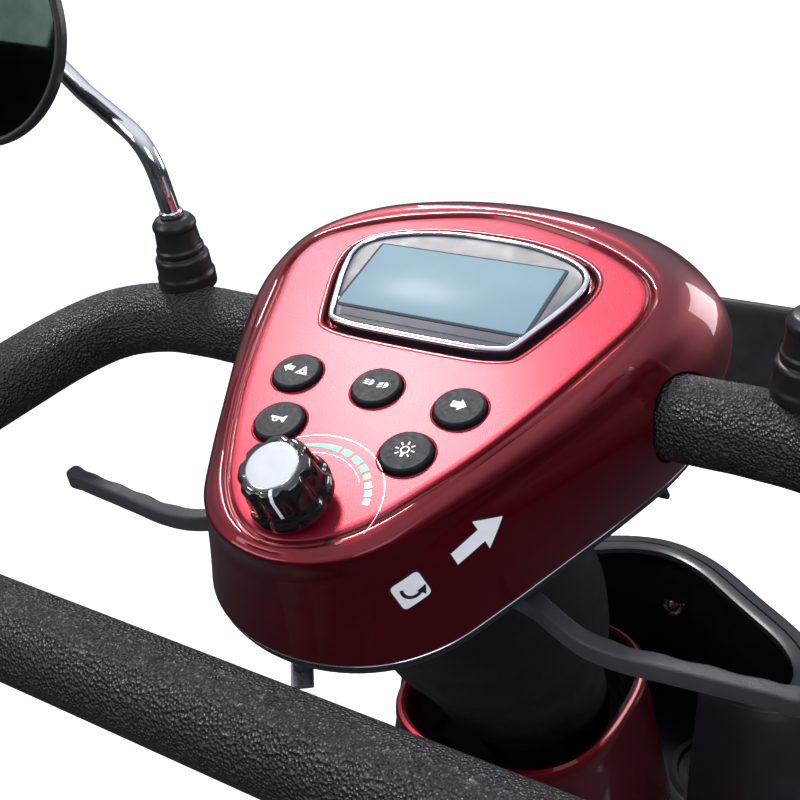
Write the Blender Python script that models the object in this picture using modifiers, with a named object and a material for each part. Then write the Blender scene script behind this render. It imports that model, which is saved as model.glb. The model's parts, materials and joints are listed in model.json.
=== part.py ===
"""Four-wheel mobility scooter: chassis, tiller with console, seat, wheels and bodywork.

World frame in metres: +X rider's right, +Y forward, +Z up, ground at z = 0.
The console has its own frame, leaning CONSOLE_LEAN towards the rider about CONSOLE.
"""

import math

import bmesh
import bpy
import numpy as np
from mathutils import Matrix, Vector

# ---------------------------------------------------------------- main dimensions
CONSOLE = Vector((0.0, 0.10, 1.00))
CONSOLE_LEAN = math.radians(13.5)
PANEL_SLOPE = math.radians(9.68)
PANEL_TILT = CONSOLE_LEAN + PANEL_SLOPE

WHEEL_R = 0.165
TYRE_HALF = 0.0425
BEAD_R = 0.108
FRONT_AXLE_Y = 0.50
REAR_AXLE_Y = -0.47
FRONT_TRACK = 0.245
REAR_TRACK = 0.245
KINGPIN_X = 0.178
WHEEL_SEGMENTS = 24

TILT_PIVOT = Vector((0.0, 0.2804, 0.715))
STEER_RAKE = math.radians(20.0)
STEER_DIR = Vector((0.0, -math.sin(STEER_RAKE), math.cos(STEER_RAKE)))
COLUMN_RAKE = math.atan2(0.122, 0.187)
COLUMN_DIR = Vector((0.0, -math.sin(COLUMN_RAKE), math.cos(COLUMN_RAKE)))

BAR_R = 0.018
TUBE_R = 0.011
FRONT_BAR_Y = 0.0434
FRONT_BAR_Z = -0.0277
NEAR_BAR_Y = -0.1475
NEAR_BAR_Z = -0.0465

SEAT_AXIS = Vector((0.0, -0.35, 0.0))
BACK_HINGE = Vector((0.0, -0.5650, 0.640))
ARM_PIVOT_Y = -0.50
ARM_PIVOT_Z = 0.785
ARM_X = 0.272

X_AXIS = Vector((1.0, 0.0, 0.0))
Y_AXIS = Vector((0.0, 1.0, 0.0))
Z_AXIS = Vector((0.0, 0.0, 1.0))

# ---------------------------------------------------------------- scene helpers


def clear_scene():
    for item in list(bpy.data.objects):
        bpy.data.objects.remove(item, do_unlink=True)
    for item in list(bpy.data.collections):
        bpy.data.collections.remove(item)


clear_scene()
CUTTERS = bpy.data.collections.new("cutters")
bpy.context.scene.collection.children.link(CUTTERS)

MATERIALS = {
    "red_paint": ((0.35, 0.01, 0.04, 1.0), 0.3, 0.25),
    "black_plastic": ((0.02, 0.02, 0.025, 1.0), 0.0, 0.5),
    "rubber": ((0.015, 0.015, 0.015, 1.0), 0.0, 0.8),
    "steel": ((0.35, 0.36, 0.38, 1.0), 1.0, 0.35),
    "chrome": ((0.85, 0.85, 0.87, 1.0), 1.0, 0.08),
    "frame_black": ((0.03, 0.03, 0.03, 1.0), 0.4, 0.4),
    "alloy": ((0.6, 0.6, 0.62, 1.0), 1.0, 0.3),
    "leather": ((0.03, 0.03, 0.032, 1.0), 0.0, 0.6),
    "lens_clear": ((0.7, 0.75, 0.8, 1.0), 0.0, 0.1),
    "lens_red": ((0.5, 0.01, 0.01, 1.0), 0.0, 0.15),
    "mirror": ((0.8, 0.82, 0.85, 1.0), 1.0, 0.02),
    "battery": ((0.1, 0.1, 0.12, 1.0), 0.0, 0.6),
}


def make_material(node_name, kind):
    colour, metallic, roughness = MATERIALS[kind]
    material = bpy.data.materials.new(node_name + "_material")
    material.use_nodes = True
    shader = material.node_tree.nodes["Principled BSDF"]
    shader.inputs["Base Color"].default_value = colour
    shader.inputs["Metallic"].default_value = metallic
    shader.inputs["Roughness"].default_value = roughness
    return material


def emit(name, bm, kind, pivot=None):
    """Link a bmesh as a named node; the origin goes to the joint axis when a pivot is given."""
    origin = Vector(pivot) if pivot is not None else Vector((0.0, 0.0, 0.0))
    bmesh.ops.remove_doubles(bm, verts=bm.verts, dist=1e-6)
    bmesh.ops.recalc_face_normals(bm, faces=bm.faces)
    bmesh.ops.translate(bm, verts=bm.verts, vec=-origin)
    mesh = bpy.data.meshes.new(name)
    bm.to_mesh(mesh)
    bm.free()
    node = bpy.data.objects.new(name, mesh)
    node.location = origin
    mesh.materials.append(make_material(name, kind))
    group = bpy.data.collections.new(name)
    bpy.context.scene.collection.children.link(group)
    group.objects.link(node)
    return node


def modifier_boolean(node, bm, operation, label):
    """Boolean a helper solid, given in world space, into a node."""
    bmesh.ops.remove_doubles(bm, verts=bm.verts, dist=1e-6)
    bmesh.ops.recalc_face_normals(bm, faces=bm.faces)
    mesh = bpy.data.meshes.new(node.name + "_" + label)
    bm.to_mesh(mesh)
    bm.free()
    helper = bpy.data.objects.new(node.name + "_" + label, mesh)
    helper.hide_render = True
    helper.display_type = "WIRE"
    CUTTERS.objects.link(helper)
    boolean = node.modifiers.new(label, "BOOLEAN")
    boolean.operation = operation
    boolean.solver = "EXACT"
    boolean.object = helper
    return boolean


def cut(node, bm, label):
    return modifier_boolean(node, bm, "DIFFERENCE", label)


def join(node, bm, label):
    return modifier_boolean(node, bm, "UNION", label)


def solidify(node, thickness):
    shell = node.modifiers.new("shell", "SOLIDIFY")
    shell.thickness = thickness
    shell.offset = -1.0
    shell.use_even_offset = False
    return shell


def bevel(node, width, segments):
    edge = node.modifiers.new("bevel", "BEVEL")
    edge.width = width
    edge.segments = segments
    edge.limit_method = "ANGLE"
    edge.angle_limit = math.radians(40.0)
    return edge


# ---------------------------------------------------------------- shape helpers


def console_point(x, y, z):
    """Console frame to world."""
    c, s = math.cos(CONSOLE_LEAN), math.sin(CONSOLE_LEAN)
    return CONSOLE + Vector((x, y * c - z * s, y * s + z * c))


def panel_z(y):
    return math.tan(PANEL_SLOPE) * y


CONSOLE_UP = (console_point(0.0, 0.0, 1.0) - console_point(0.0, 0.0, 0.0)).normalized()
PANEL_UP = Vector((0.0, -math.sin(PANEL_TILT), math.cos(PANEL_TILT)))
PANEL_FRONT = Vector((0.0, math.cos(PANEL_TILT), math.sin(PANEL_TILT)))


def panel_point(x, y, height):
    """Point at (x, y) of the console frame, on the panel, raised along its normal."""
    return console_point(x, y, panel_z(y)) + PANEL_UP * height


def frame_matrix(origin, axis):
    """Matrix taking local +Z to axis, at origin."""
    rotation = Vector(axis).normalized().to_track_quat("Z", "Y").to_matrix().to_4x4()
    return Matrix.Translation(Vector(origin)) @ rotation


def axis_frame(origin, axis, forward):
    """Matrix with local +Z on axis and local +Y as near to forward as it can be."""
    z = Vector(axis).normalized()
    x = Vector(forward).cross(z).normalized()
    y = z.cross(x)
    rotation = Matrix((x, y, z)).transposed().to_4x4()
    return Matrix.Translation(Vector(origin)) @ rotation


def smooth(points, steps, cyclic=False):
    """Catmull-Rom through the points, steps pieces per span."""
    pts = [Vector(p) for p in points]
    count = len(pts)
    spans = count if cyclic else count - 1
    out = []
    for i in range(spans):
        if cyclic:
            p0, p1, p2, p3 = (pts[(i + k - 1) % count] for k in range(4))
        else:
            p0, p1 = pts[max(i - 1, 0)], pts[i]
            p2, p3 = pts[i + 1], pts[min(i + 2, count - 1)]
        for k in range(steps):
            t = k / steps
            a = 2.0 * p1
            b = (p2 - p0) * t
            c = (2.0 * p0 - 5.0 * p1 + 4.0 * p2 - p3) * t * t
            d = (3.0 * p1 - p0 - 3.0 * p2 + p3) * t * t * t
            out.append((a + b + c + d) * 0.5)
    if not cyclic:
        out.append(pts[-1])
    return out


def loft(rings, cyclic=False, caps=True):
    """Quads between rings of equal length; the ends are capped unless cyclic."""
    bm = bmesh.new()
    rows = [[bm.verts.new(p) for p in ring] for ring in rings]
    count = len(rows[0])
    pairs = list(zip(rows[:-1], rows[1:]))
    if cyclic:
        pairs.append((rows[-1], rows[0]))
    for low, high in pairs:
        for i in range(count):
            j = (i + 1) % count
            bm.faces.new((low[i], low[j], high[j], high[i]))
    if caps and not cyclic:
        bm.faces.new(rows[0])
        bm.faces.new(list(reversed(rows[-1])))
    return bm


def skin(rows):
    """Open sheet of quads through rows of points."""
    bm = bmesh.new()
    grid = [[bm.verts.new(p) for p in row] for row in rows]
    for a, b in zip(grid[:-1], grid[1:]):
        for i in range(len(a) - 1):
            bm.faces.new((a[i], a[i + 1], b[i + 1], b[i]))
    return bm


def lathe(profile, segments, matrix, closed=False, angle=2.0 * math.pi):
    """Revolve a profile of (radius, height) about local Z."""
    bm = bmesh.new()
    verts = [bm.verts.new((r, 0.0, h)) for r, h in profile]
    edges = [bm.edges.new(pair) for pair in zip(verts[:-1], verts[1:])]
    if closed:
        edges.append(bm.edges.new((verts[-1], verts[0])))
    bmesh.ops.spin(
        bm, geom=verts + edges, cent=(0.0, 0.0, 0.0), axis=(0.0, 0.0, 1.0),
        dvec=(0.0, 0.0, 0.0), angle=angle, steps=segments, use_merge=True,
    )
    bmesh.ops.remove_doubles(bm, verts=bm.verts, dist=1e-6)
    bmesh.ops.transform(bm, matrix=matrix, verts=bm.verts)
    return bm


def cylinder(start, end, radius, segments=16, radius_end=None):
    start, end = Vector(start), Vector(end)
    length = (end - start).length
    tip = radius if radius_end is None else radius_end
    profile = [(0.0, 0.0), (radius, 0.0), (tip, length), (0.0, length)]
    return lathe(profile, segments, frame_matrix(start, end - start))


def box(centre, size, matrix=None):
    bm = bmesh.new()
    bmesh.ops.create_cube(bm, size=1.0)
    bmesh.ops.scale(bm, vec=Vector(size), verts=bm.verts)
    bmesh.ops.translate(bm, vec=Vector(centre), verts=bm.verts)
    if matrix is not None:
        bmesh.ops.transform(bm, matrix=matrix, verts=bm.verts)
    return bm


def merged(parts):
    """Put several separate helper solids in one bmesh."""
    out = bmesh.new()
    for part in parts:
        mesh = bpy.data.meshes.new("merge")
        part.to_mesh(mesh)
        part.free()
        out.from_mesh(mesh)
        bpy.data.meshes.remove(mesh)
    return out


def sweep_rings(path, radius, sides, cyclic=False):
    """Circles of one radius carried along a path."""
    count = len(path)
    rings = []
    normal = None
    for i, point in enumerate(path):
        if cyclic:
            before, after = path[i - 1], path[(i + 1) % count]
        else:
            before, after = path[max(i - 1, 0)], path[min(i + 1, count - 1)]
        tangent = (after - before).normalized()
        if normal is None:
            guess = Z_AXIS if abs(tangent.z) < 0.9 else Y_AXIS
            normal = (guess - tangent * guess.dot(tangent)).normalized()
        else:
            normal = (normal - tangent * normal.dot(tangent)).normalized()
        side = tangent.cross(normal)
        ring = []
        for k in range(sides):
            a = 2.0 * math.pi * k / sides
            ring.append(point + normal * (math.cos(a) * radius) + side * (math.sin(a) * radius))
        rings.append(ring)
    return rings


def rod(path, radius, sides=12, cyclic=False):
    return loft(sweep_rings(path, radius, sides, cyclic), cyclic=cyclic)


def mirrored_outline(right_half):
    """Closed outline from points of the right half that start and end on the centre line."""
    left_half = [(-x, y) for x, y in reversed(right_half[1:-1])]
    return right_half + left_half


def offset_outline(outline, distance):
    """Move a closed outline of (x, y) along its outward normals."""
    count = len(outline)
    out = []
    for i in range(count):
        x0, y0 = outline[i - 1]
        x1, y1 = outline[(i + 1) % count]
        tx, ty = x1 - x0, y1 - y0
        length = math.hypot(tx, ty)
        out.append((outline[i][0] + ty / length * distance, outline[i][1] - tx / length * distance))
    return out


# ---------------------------------------------------------------- console

CREST = mirrored_outline([
    (0.0, -0.101), (0.022, -0.0965), (0.038, -0.084), (0.050, -0.062), (0.0645, -0.030),
    (0.076, -0.004), (0.0875, 0.026), (0.0925, 0.0545), (0.088, 0.082), (0.066, 0.1035),
    (0.035, 0.114), (0.0, 0.1175),
])
CREST_STATIONS_Y = (-0.10, -0.045, 0.03, 0.1175)
SEAM_Z = -0.0615
SEAM_SLOPE = 0.0711
SHELL_T = 0.0025
# Outward reach of the cover's side at its near end, middle and far end, then how far the whole
# section has moved forward, its sag below the panel plane and its share of the way to the seam.
CREST_REACH = (-0.0020, -0.0020, -0.0020, 0.0, 0.0010, 0.0)
SIDE_REACHES = [
    (0.0037, 0.0084, 0.0145, 0.0077, 0.0040, 0.12),
    (0.0098, 0.0180, 0.0220, 0.0142, 0.0, 0.38),
    (0.0140, 0.0198, 0.0226, 0.0178, 0.0, 0.62),
    (0.0213, 0.0164, 0.0149, 0.0222, 0.0, 1.0),
]
THROTTLE_Z = -0.0800
THROTTLE_PIVOT_Y = -0.0100


def seam_z(y):
    return SEAM_Z + SEAM_SLOPE * y


def console_ring(offset, drop):
    """Outline ring a little below the panel plane."""
    return [console_point(x, y, panel_z(y) - drop) for x, y in offset_outline(CREST, offset)]


def side_outline(reach, inset=0.0):
    """Crest outline pushed out by different amounts at its near end, sides and far end."""
    near, side, far, forward = reach[:4]
    stations = (near, (near + side) / 2.0, side, far)
    outline = []
    for i, (x, y) in enumerate(CREST):
        distance = float(np.interp(y, CREST_STATIONS_Y, stations)) - inset
        px, py = offset_outline(CREST, distance)[i]
        outline.append((px, py + forward))
    return outline


def side_ring(reach):
    drop, share = reach[4:]
    ring = []
    for (_, y), (px, py) in zip(CREST, side_outline(reach)):
        ring.append(console_point(px, py, (panel_z(y) - drop) * (1.0 - share) + seam_z(y) * share))
    return ring


def build_console_shells():
    rings = [
        console_ring(-0.0300, 0.0),
        console_ring(-0.0095, 0.0),
        console_ring(-0.0065, 0.0035),
        side_ring(CREST_REACH),
    ]
    rings += [side_ring(reach) for reach in SIDE_REACHES]
    bm = loft(rings, caps=False)
    centre_y = 0.02
    bm.verts.ensure_lookup_table()
    first = [bm.verts[i] for i in range(len(CREST))]
    hub = bm.verts.new(console_point(0.0, centre_y, panel_z(centre_y)))
    for i, vert in enumerate(first):
        bm.faces.new((first[(i + 1) % len(first)], vert, hub))
    top = emit("console_top_shell", bm, "red_paint")
    solidify(top, SHELL_T)
    bottom_rings = [
        console_lower_ring(0.0010, 0.0005),
        console_lower_ring(0.0015, 0.0060),
        console_lower_ring(0.0125, 0.0090),
        console_neck_ring(1.04, -0.0700),
        console_neck_ring(1.00, -0.0920),
    ]
    lower = emit("console_bottom_shell", loft(bottom_rings, caps=False), "black_plastic")
    solidify(lower, SHELL_T)
    slots = merged([
        box((side * 0.0510, -0.0270, THROTTLE_Z), (0.0580, 0.0500, 0.0150), console_matrix())
        for side in (-1.0, 1.0)
    ])
    cut(lower, slots, "lever_slots")
    cut(lower, rod(basket_arm_path(), 0.0105, 12), "basket_arm_hole")
    return top


def basket_arm_path():
    return [
        console_point(0.0, 0.034, -0.050), console_point(0.0, 0.085, -0.0785),
        console_point(0.0, 0.104, -0.090),
        CONSOLE + Vector((0.0, 0.196, -0.125)),
    ]


def console_matrix():
    return Matrix.Translation(CONSOLE) @ Matrix.Rotation(CONSOLE_LEAN, 4, "X")


def console_lower_ring(inset, below):
    """Ring of the under-cover: inset from the cover's lower edge and below the seam."""
    outline = side_outline(SIDE_REACHES[-1], inset)
    return [console_point(px, py, seam_z(y) - below) for (_, y), (px, py) in zip(CREST, outline)]


NECK_CENTRE_Y = 0.026
NECK_HALF_X = 0.071
NECK_HALF_Y = 0.068


def console_neck_ring(scale, z):
    ring = []
    count = len(CREST)
    for i in range(count):
        a = 2.0 * math.pi * i / count - math.pi / 2.0
        x = math.cos(a) * NECK_HALF_X * scale
        y = math.sin(a) * NECK_HALF_Y * scale + NECK_CENTRE_Y
        ring.append(console_point(x, y, z))
    return ring


LCD_OUTLINE = mirrored_outline([
    (0.0, 0.0165), (0.030, 0.0170), (0.0410, 0.0190), (0.0450, 0.0225), (0.0510, 0.0370),
    (0.0560, 0.0510), (0.0588, 0.0645), (0.0565, 0.0735), (0.0490, 0.0800), (0.0365, 0.0850),
    (0.0200, 0.0885), (0.0, 0.0895),
])


def panel_slab(outline, low, high, shrink=0.0):
    """Solid with a panel outline between two heights along the panel normal."""
    shape = offset_outline(outline, -shrink)
    return loft([
        [panel_point(x, y, low) for x, y in shape],
        [panel_point(x, y, high) for x, y in shape],
    ])


BUTTONS = {
    "button_left_turn": (-0.0381, -0.0142),
    "button_headlight": (0.0, -0.0129),
    "button_right_turn": (0.0381, -0.0142),
    "button_horn": (-0.0291, -0.0414),
    "button_light": (0.0291, -0.0414),
}
BUTTON_R = 0.0105
KNOB_XY = (0.0, -0.0739)
KNOB_LEAN = math.radians(12.0)


def knob_matrix():
    tilt = PANEL_TILT + KNOB_LEAN
    axis = Vector((0.0, -math.sin(tilt), math.cos(tilt)))
    return axis_frame(panel_point(KNOB_XY[0], KNOB_XY[1], 0.0), axis, Y_AXIS)


def build_panel_parts(top):
    holes = []
    for name, (x, y) in BUTTONS.items():
        holes.append(cylinder(panel_point(x, y, -0.012), panel_point(x, y, 0.012), BUTTON_R + 0.0007, 14))
        profile = [
            (0.0, -0.0080), (BUTTON_R, -0.0080), (BUTTON_R, 0.0015), (BUTTON_R - 0.0010, 0.0025),
            (0.0, 0.0029),
        ]
        matrix = axis_frame(panel_point(x, y, 0.0), PANEL_UP, Y_AXIS)
        emit(name, lathe(profile, 14, matrix), "rubber", panel_point(x, y, 0.0))
    knob = knob_matrix()
    start = knob @ Vector((0.0, 0.0, -0.015))
    end = knob @ Vector((0.0, 0.0, 0.006))
    holes.append(cylinder(start, end, 0.0070, 16))
    cut(top, merged(holes), "control_holes")
    cut(top, panel_slab(LCD_OUTLINE, -0.02, 0.02, 0.0), "lcd_window")
    bar_hole = cylinder(
        console_point(-0.16, FRONT_BAR_Y, FRONT_BAR_Z),
        console_point(0.16, FRONT_BAR_Y, FRONT_BAR_Z), BAR_R + 0.0015, 20)
    cut(top, bar_hole, "bar_hole")
    knob_profile = [
        (0.0, -0.0110), (0.0060, -0.0110), (0.0060, 0.0045), (0.0170, 0.0045), (0.0170, 0.0070),
        (0.0128, 0.0110), (0.0118, 0.0235), (0.0, 0.0250),
    ]
    emit("speed_knob", lathe(knob_profile, 18, knob), "black_plastic", knob.translation)
    emit("lcd_lens", panel_slab(LCD_OUTLINE, -0.0020, 0.0030, 0.0006), "lens_clear")
    emit("lcd_module", panel_slab(LCD_OUTLINE, -0.0120, -0.0026, 0.0030), "black_plastic")


# ---------------------------------------------------------------- handlebar


def loop_path():
    """Centre line of the closed handlebar loop, starting at the middle of the front bar."""
    slope = (FRONT_BAR_Z - NEAR_BAR_Z) / (FRONT_BAR_Y - NEAR_BAR_Y)
    right = [
        (0.0, FRONT_BAR_Y), (0.100, FRONT_BAR_Y), (0.136, FRONT_BAR_Y),
        (0.163, 0.0405), (0.186, 0.0285), (0.200, 0.0060), (0.210, -0.0260), (0.2190, -0.0600),
        (0.2270, -0.0930), (0.2240, -0.1190), (0.2060, -0.1390), (0.1800, -0.1465),
        (0.0, NEAR_BAR_Y),
    ]
    outline = mirrored_outline(right)
    return [console_point(x, y, FRONT_BAR_Z + (y - FRONT_BAR_Y) * slope) for x, y in outline]


def build_handlebar():
    path = loop_path()
    emit("handlebar_tube", rod(path, TUBE_R, 8, cyclic=True), "steel")
    sleeve = [p for p in path if abs(p.x) > 0.0995 or p.y < CONSOLE.y]
    outer = sweep_rings(sleeve, BAR_R, 14)
    outer[0] = [sleeve[0] + (q - sleeve[0]) * 0.86 for q in outer[0]]
    outer[-1] = [sleeve[-1] + (q - sleeve[-1]) * 0.86 for q in outer[-1]]
    inner = sweep_rings(sleeve, TUBE_R + 0.0012, 14)
    grip = loft(outer + list(reversed(inner)), cyclic=True)
    emit("handlebar_grip", grip, "rubber")


# ---------------------------------------------------------------- tiller column and levers


def column_point(distance):
    """Point on the column axis, measured up from the tilt pivot."""
    return TILT_PIVOT + COLUMN_DIR * distance


COLUMN_TOP = 0.285


def build_column():
    lug = cylinder(TILT_PIVOT - X_AXIS * 0.0125, TILT_PIVOT + X_AXIS * 0.0125, 0.020, 16)
    column = emit("tiller_column", rod([column_point(0.0145), column_point(COLUMN_TOP)], 0.0160, 12),
                  "frame_black", TILT_PIVOT)
    join(column, lug, "lug")
    cross = box((0.0, FRONT_BAR_Y - 0.006, FRONT_BAR_Z - 0.0215), (0.10, 0.036, 0.018), console_matrix())
    join(column, cross, "bar_clamp")
    join(column, rod(basket_arm_path(), 0.009, 10), "basket_arm")
    plate = box((0.0, 0.0, 0.0), (0.12, 0.004, 0.05),
                Matrix.Translation(CONSOLE + Vector((0.0, 0.198, -0.122))) @ basket_lean())
    join(column, plate, "basket_plate")
    pin_bore = cylinder(TILT_PIVOT - X_AXIS * 0.03, TILT_PIVOT + X_AXIS * 0.03, 0.0066, 12)
    cut(column, pin_bore, "pin_bore")

    sections = [
        (-0.022, 0.0400, 0.0400, 0.0), (-0.010, 0.0435, 0.0425, 0.0),
        (0.010, 0.0448, 0.0442, -0.0002), (0.040, 0.0468, 0.0465, -0.0005),
        (0.070, 0.0510, 0.0512, -0.0020), (0.110, 0.0590, 0.0570, 0.0),
        (0.150, 0.0640, 0.0610, -0.0030),
    ]
    count = 22
    rings = []
    for distance, half_x, half_n, shift in sections:
        frame = axis_frame(column_point(distance), COLUMN_DIR, Y_AXIS)
        ring = []
        for i in range(count):
            a = 2.0 * math.pi * i / count
            ring.append(frame @ Vector((math.cos(a) * half_x, math.sin(a) * half_n + shift, 0.0)))
        rings.append(ring)
    neck = []
    for i in range(count):
        a = 2.0 * math.pi * i / count
        neck.append(console_point(math.cos(a) * 0.0635, math.sin(a) * 0.0610 + NECK_CENTRE_Y, -0.0945))
    rings.append(neck)
    cover = emit("column_cover", loft(rings, caps=False), "black_plastic", TILT_PIVOT)
    solidify(cover, 0.0030)


def build_throttle():
    """Finger levers on one plate that rocks about the console's upright axis."""
    half = [
        (0.050, -0.0240), (0.072, -0.0285), (0.084, -0.0345), (0.097, -0.0400),
        (0.112, -0.0415), (0.130, -0.0400), (0.148, -0.0385), (0.166, -0.0370), (0.181, -0.0350),
    ]
    widths = [0.010, 0.0080, 0.0072, 0.0070, 0.0074, 0.0066, 0.0076, 0.0068, 0.0060]

    def arm(sign):
        rings = []
        for (x, y), width in zip(half, widths):
            low, high = THROTTLE_Z - 0.0045, THROTTLE_Z + 0.0045
            corners = [
                (y - width / 2, low), (y + width / 2, low), (y + width / 2, high), (y - width / 2, high),
            ]
            rings.append([console_point(sign * x, cy, cz) for cy, cz in corners])
        return loft(rings)

    plate = box((0.0, -0.0240, THROTTLE_Z), (0.104, 0.010, 0.0088), console_matrix())
    pivot = console_point(0.0, THROTTLE_PIVOT_Y, THROTTLE_Z)
    lever = emit("throttle_lever", plate, "frame_black", pivot)
    join(lever, arm(1.0), "arm_right")
    join(lever, arm(-1.0), "arm_left")
    return lever


def build_tilt_lever():
    """Small release lever on the rider's side of the neck."""
    pivot = console_point(-0.024, -0.0450, -0.0830)
    path = [
        pivot, console_point(-0.022, -0.058, -0.090), console_point(-0.015, -0.074, -0.099),
        console_point(-0.008, -0.086, -0.105),
    ]
    emit("tilt_lever", rod(smooth(path, 2), 0.0042, 8), "steel", pivot)


# ---------------------------------------------------------------- mirrors

BOOT_X = 0.1529
BOOT_Y = 0.0515
MIRROR_R = 0.054


def build_mirror(side, label):
    base = console_point(side * BOOT_X, BOOT_Y, -0.0130)
    frame = axis_frame(base, CONSOLE_UP, Y_AXIS)
    profile = [
        (0.0, 0.0), (0.0138, 0.0), (0.0136, 0.0170), (0.0112, 0.0195), (0.0100, 0.0365),
        (0.0070, 0.0385), (0.0054, 0.0385), (0.0054, 0.0160), (0.0, 0.0160),
    ]
    boot = emit("mirror_boot_" + label, lathe(profile, 14, frame), "rubber")
    grip_path = [p for p in loop_path() if p.x * side > 0.09 and p.y > CONSOLE.y + 0.01]
    grip_path.sort(key=lambda p: abs(p.x))
    cut(boot, rod(grip_path, BAR_R + 0.0012, 14), "grip_saddle")

    start = frame @ Vector((0.0, 0.0, 0.0175))
    elbow_low = frame @ Vector((0.0, 0.0, 0.060))
    elbow = CONSOLE + Vector((side * 0.1555, 0.0345, 0.0690))
    middle = CONSOLE + Vector((side * 0.2030, 0.0430, 0.0930))
    end = CONSOLE + Vector((side * 0.2210, 0.0466, 0.1030))
    tip = CONSOLE + Vector((side * 0.2300, 0.0480, 0.1080))
    path = [start, frame @ Vector((0.0, 0.0, 0.040)), elbow_low,
            elbow + (elbow_low - elbow) * 0.5 + Vector((-side * 0.0005, 0.0, 0.001)),
            elbow + (middle - elbow) * 0.12, middle, end, tip]
    stalk = emit("mirror_arm_" + label, rod(path, 0.0048, 8), "chrome", start)
    ball = bmesh.new()
    bmesh.ops.create_uvsphere(ball, u_segments=10, v_segments=8, radius=0.0062)
    bmesh.ops.translate(ball, vec=tip, verts=ball.verts)
    join(stalk, ball, "ball_end")
    centre = CONSOLE + Vector((side * 0.2440, 0.0175, 0.1210))
    facing = Vector((-side * 0.17, -0.97, 0.10)).normalized()
    head = axis_frame(centre, facing, Z_AXIS)
    shell = [
        (0.0, -0.0150), (0.0300, -0.0130), (0.0490, -0.0040), (MIRROR_R, 0.0030),
        (MIRROR_R, 0.0080), (0.0505, 0.0085), (0.0505, 0.0045), (0.0, 0.0045),
    ]
    pivot = tip
    node = emit("mirror_head_" + label, lathe(shell, 24, head), "black_plastic", pivot)
    socket_end = centre - facing * 0.012
    join(node, cylinder(tip + (socket_end - tip).normalized() * 0.0068, socket_end, 0.0060, 12), "socket")
    glass = [(0.0, 0.0050), (0.0500, 0.0050), (0.0500, 0.0066), (0.0, 0.0072)]
    emit("mirror_glass_" + label, lathe(glass, 24, head), "mirror", pivot)


# ---------------------------------------------------------------- basket

BASKET_RIM_Z = -0.070


def basket_lean():
    return Matrix.Rotation(math.radians(46.0), 4, "X")


def build_basket():
    """Shallow tray hung ahead of the console; near wall slopes, floor is flat."""
    rim_half = 0.165
    floor_half = 0.145

    def ring(half, near, far, z, radius=0.02):
        pts = []
        corners = [(half, far, 0.0), (-half, far, 90.0), (-half, near, 180.0), (half, near, 270.0)]
        for cx, cy, start in corners:
            inner_x = cx - math.copysign(radius, cx)
            inner_y = cy - (radius if cy == far else -radius)
            for k in range(4):
                a = math.radians(start + 30.0 * k)
                pts.append(CONSOLE + Vector((inner_x + math.cos(a) * radius, inner_y + math.sin(a) * radius, z)))
        return pts

    wall = 0.003
    rim_z = BASKET_RIM_Z
    rings = [
        ring(floor_half, 0.300, 0.385, -0.153),
        ring(rim_half, 0.212, 0.400, rim_z - 0.008),
        ring(rim_half + 0.006, 0.206, 0.406, rim_z - 0.008),
        ring(rim_half + 0.006, 0.206, 0.406, rim_z),
        ring(rim_half - wall, 0.215, 0.397, rim_z),
        ring(floor_half - wall, 0.303, 0.382, -0.149),
    ]
    emit("front_basket", loft(rings), "black_plastic")


# ---------------------------------------------------------------- steering


def steer_point(distance):
    """Point on the steering axis, measured up from the tilt pivot."""
    return TILT_PIVOT + STEER_DIR * distance


STEM_LOW = -0.505
HEAD_LOW = -0.500
HEAD_HIGH = -0.340


def build_steering():
    stem = emit("steering_stem", rod([steer_point(STEM_LOW), steer_point(-0.024)], 0.0150, 12),
                "frame_black", TILT_PIVOT)
    collar = cylinder(steer_point(-0.338), steer_point(-0.322), 0.0230, 16)
    join(stem, collar, "collar")
    frame = axis_frame(TILT_PIVOT, STEER_DIR, Y_AXIS)
    join(stem, box((0.0, 0.0, -0.0275), (0.042, 0.030, 0.009), frame), "clevis_base")
    for side, label in ((-1.0, "cheek_left"), (1.0, "cheek_right")):
        join(stem, box((side * 0.0175, 0.0, -0.0100), (0.007, 0.030, 0.040), frame), label)
    join(stem, cylinder(TILT_PIVOT - X_AXIS * 0.020, TILT_PIVOT + X_AXIS * 0.020, 0.0060, 12), "pin")

    beam = emit("front_axle", box((0.0, FRONT_AXLE_Y, WHEEL_R), (0.300, 0.036, 0.036)), "frame_black")
    for side, label in ((-1.0, "left"), (1.0, "right")):
        x = side * KINGPIN_X
        for z in (WHEEL_R - 0.0400, WHEEL_R + 0.0400):
            plate = box((side * (KINGPIN_X - 0.0175), FRONT_AXLE_Y, z), (0.073, 0.036, 0.010))
            join(beam, plate, "fork_plate_%s_%d" % (label, round(z * 1000)))
        web = box((side * (KINGPIN_X - 0.0400), FRONT_AXLE_Y, WHEEL_R), (0.024, 0.036, 0.088))
        join(beam, web, "fork_web_" + label)
        post = cylinder((x, FRONT_AXLE_Y, WHEEL_R - 0.0340), (x, FRONT_AXLE_Y, WHEEL_R + 0.0340), 0.0140, 16)
        knuckle = emit("steering_knuckle_" + label, post, "frame_black", (x, FRONT_AXLE_Y, WHEEL_R))
        spindle = cylinder((x, FRONT_AXLE_Y, WHEEL_R), (side * (FRONT_TRACK + 0.036), FRONT_AXLE_Y, WHEEL_R),
                           0.0100, 12)
        join(knuckle, spindle, "spindle")
        arm = box((x, FRONT_AXLE_Y - 0.042, WHEEL_R - 0.008), (0.016, 0.084, 0.010))
        join(knuckle, arm, "steering_arm")
    rod_y = FRONT_AXLE_Y - 0.075
    tie = rod([Vector((-0.176, rod_y, WHEEL_R + 0.0050)), Vector((0.176, rod_y, WHEEL_R + 0.0050))], 0.0055, 10)
    emit("tie_rod", tie, "steel", (0.0, rod_y, WHEEL_R + 0.0050))


# ---------------------------------------------------------------- wheels


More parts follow.
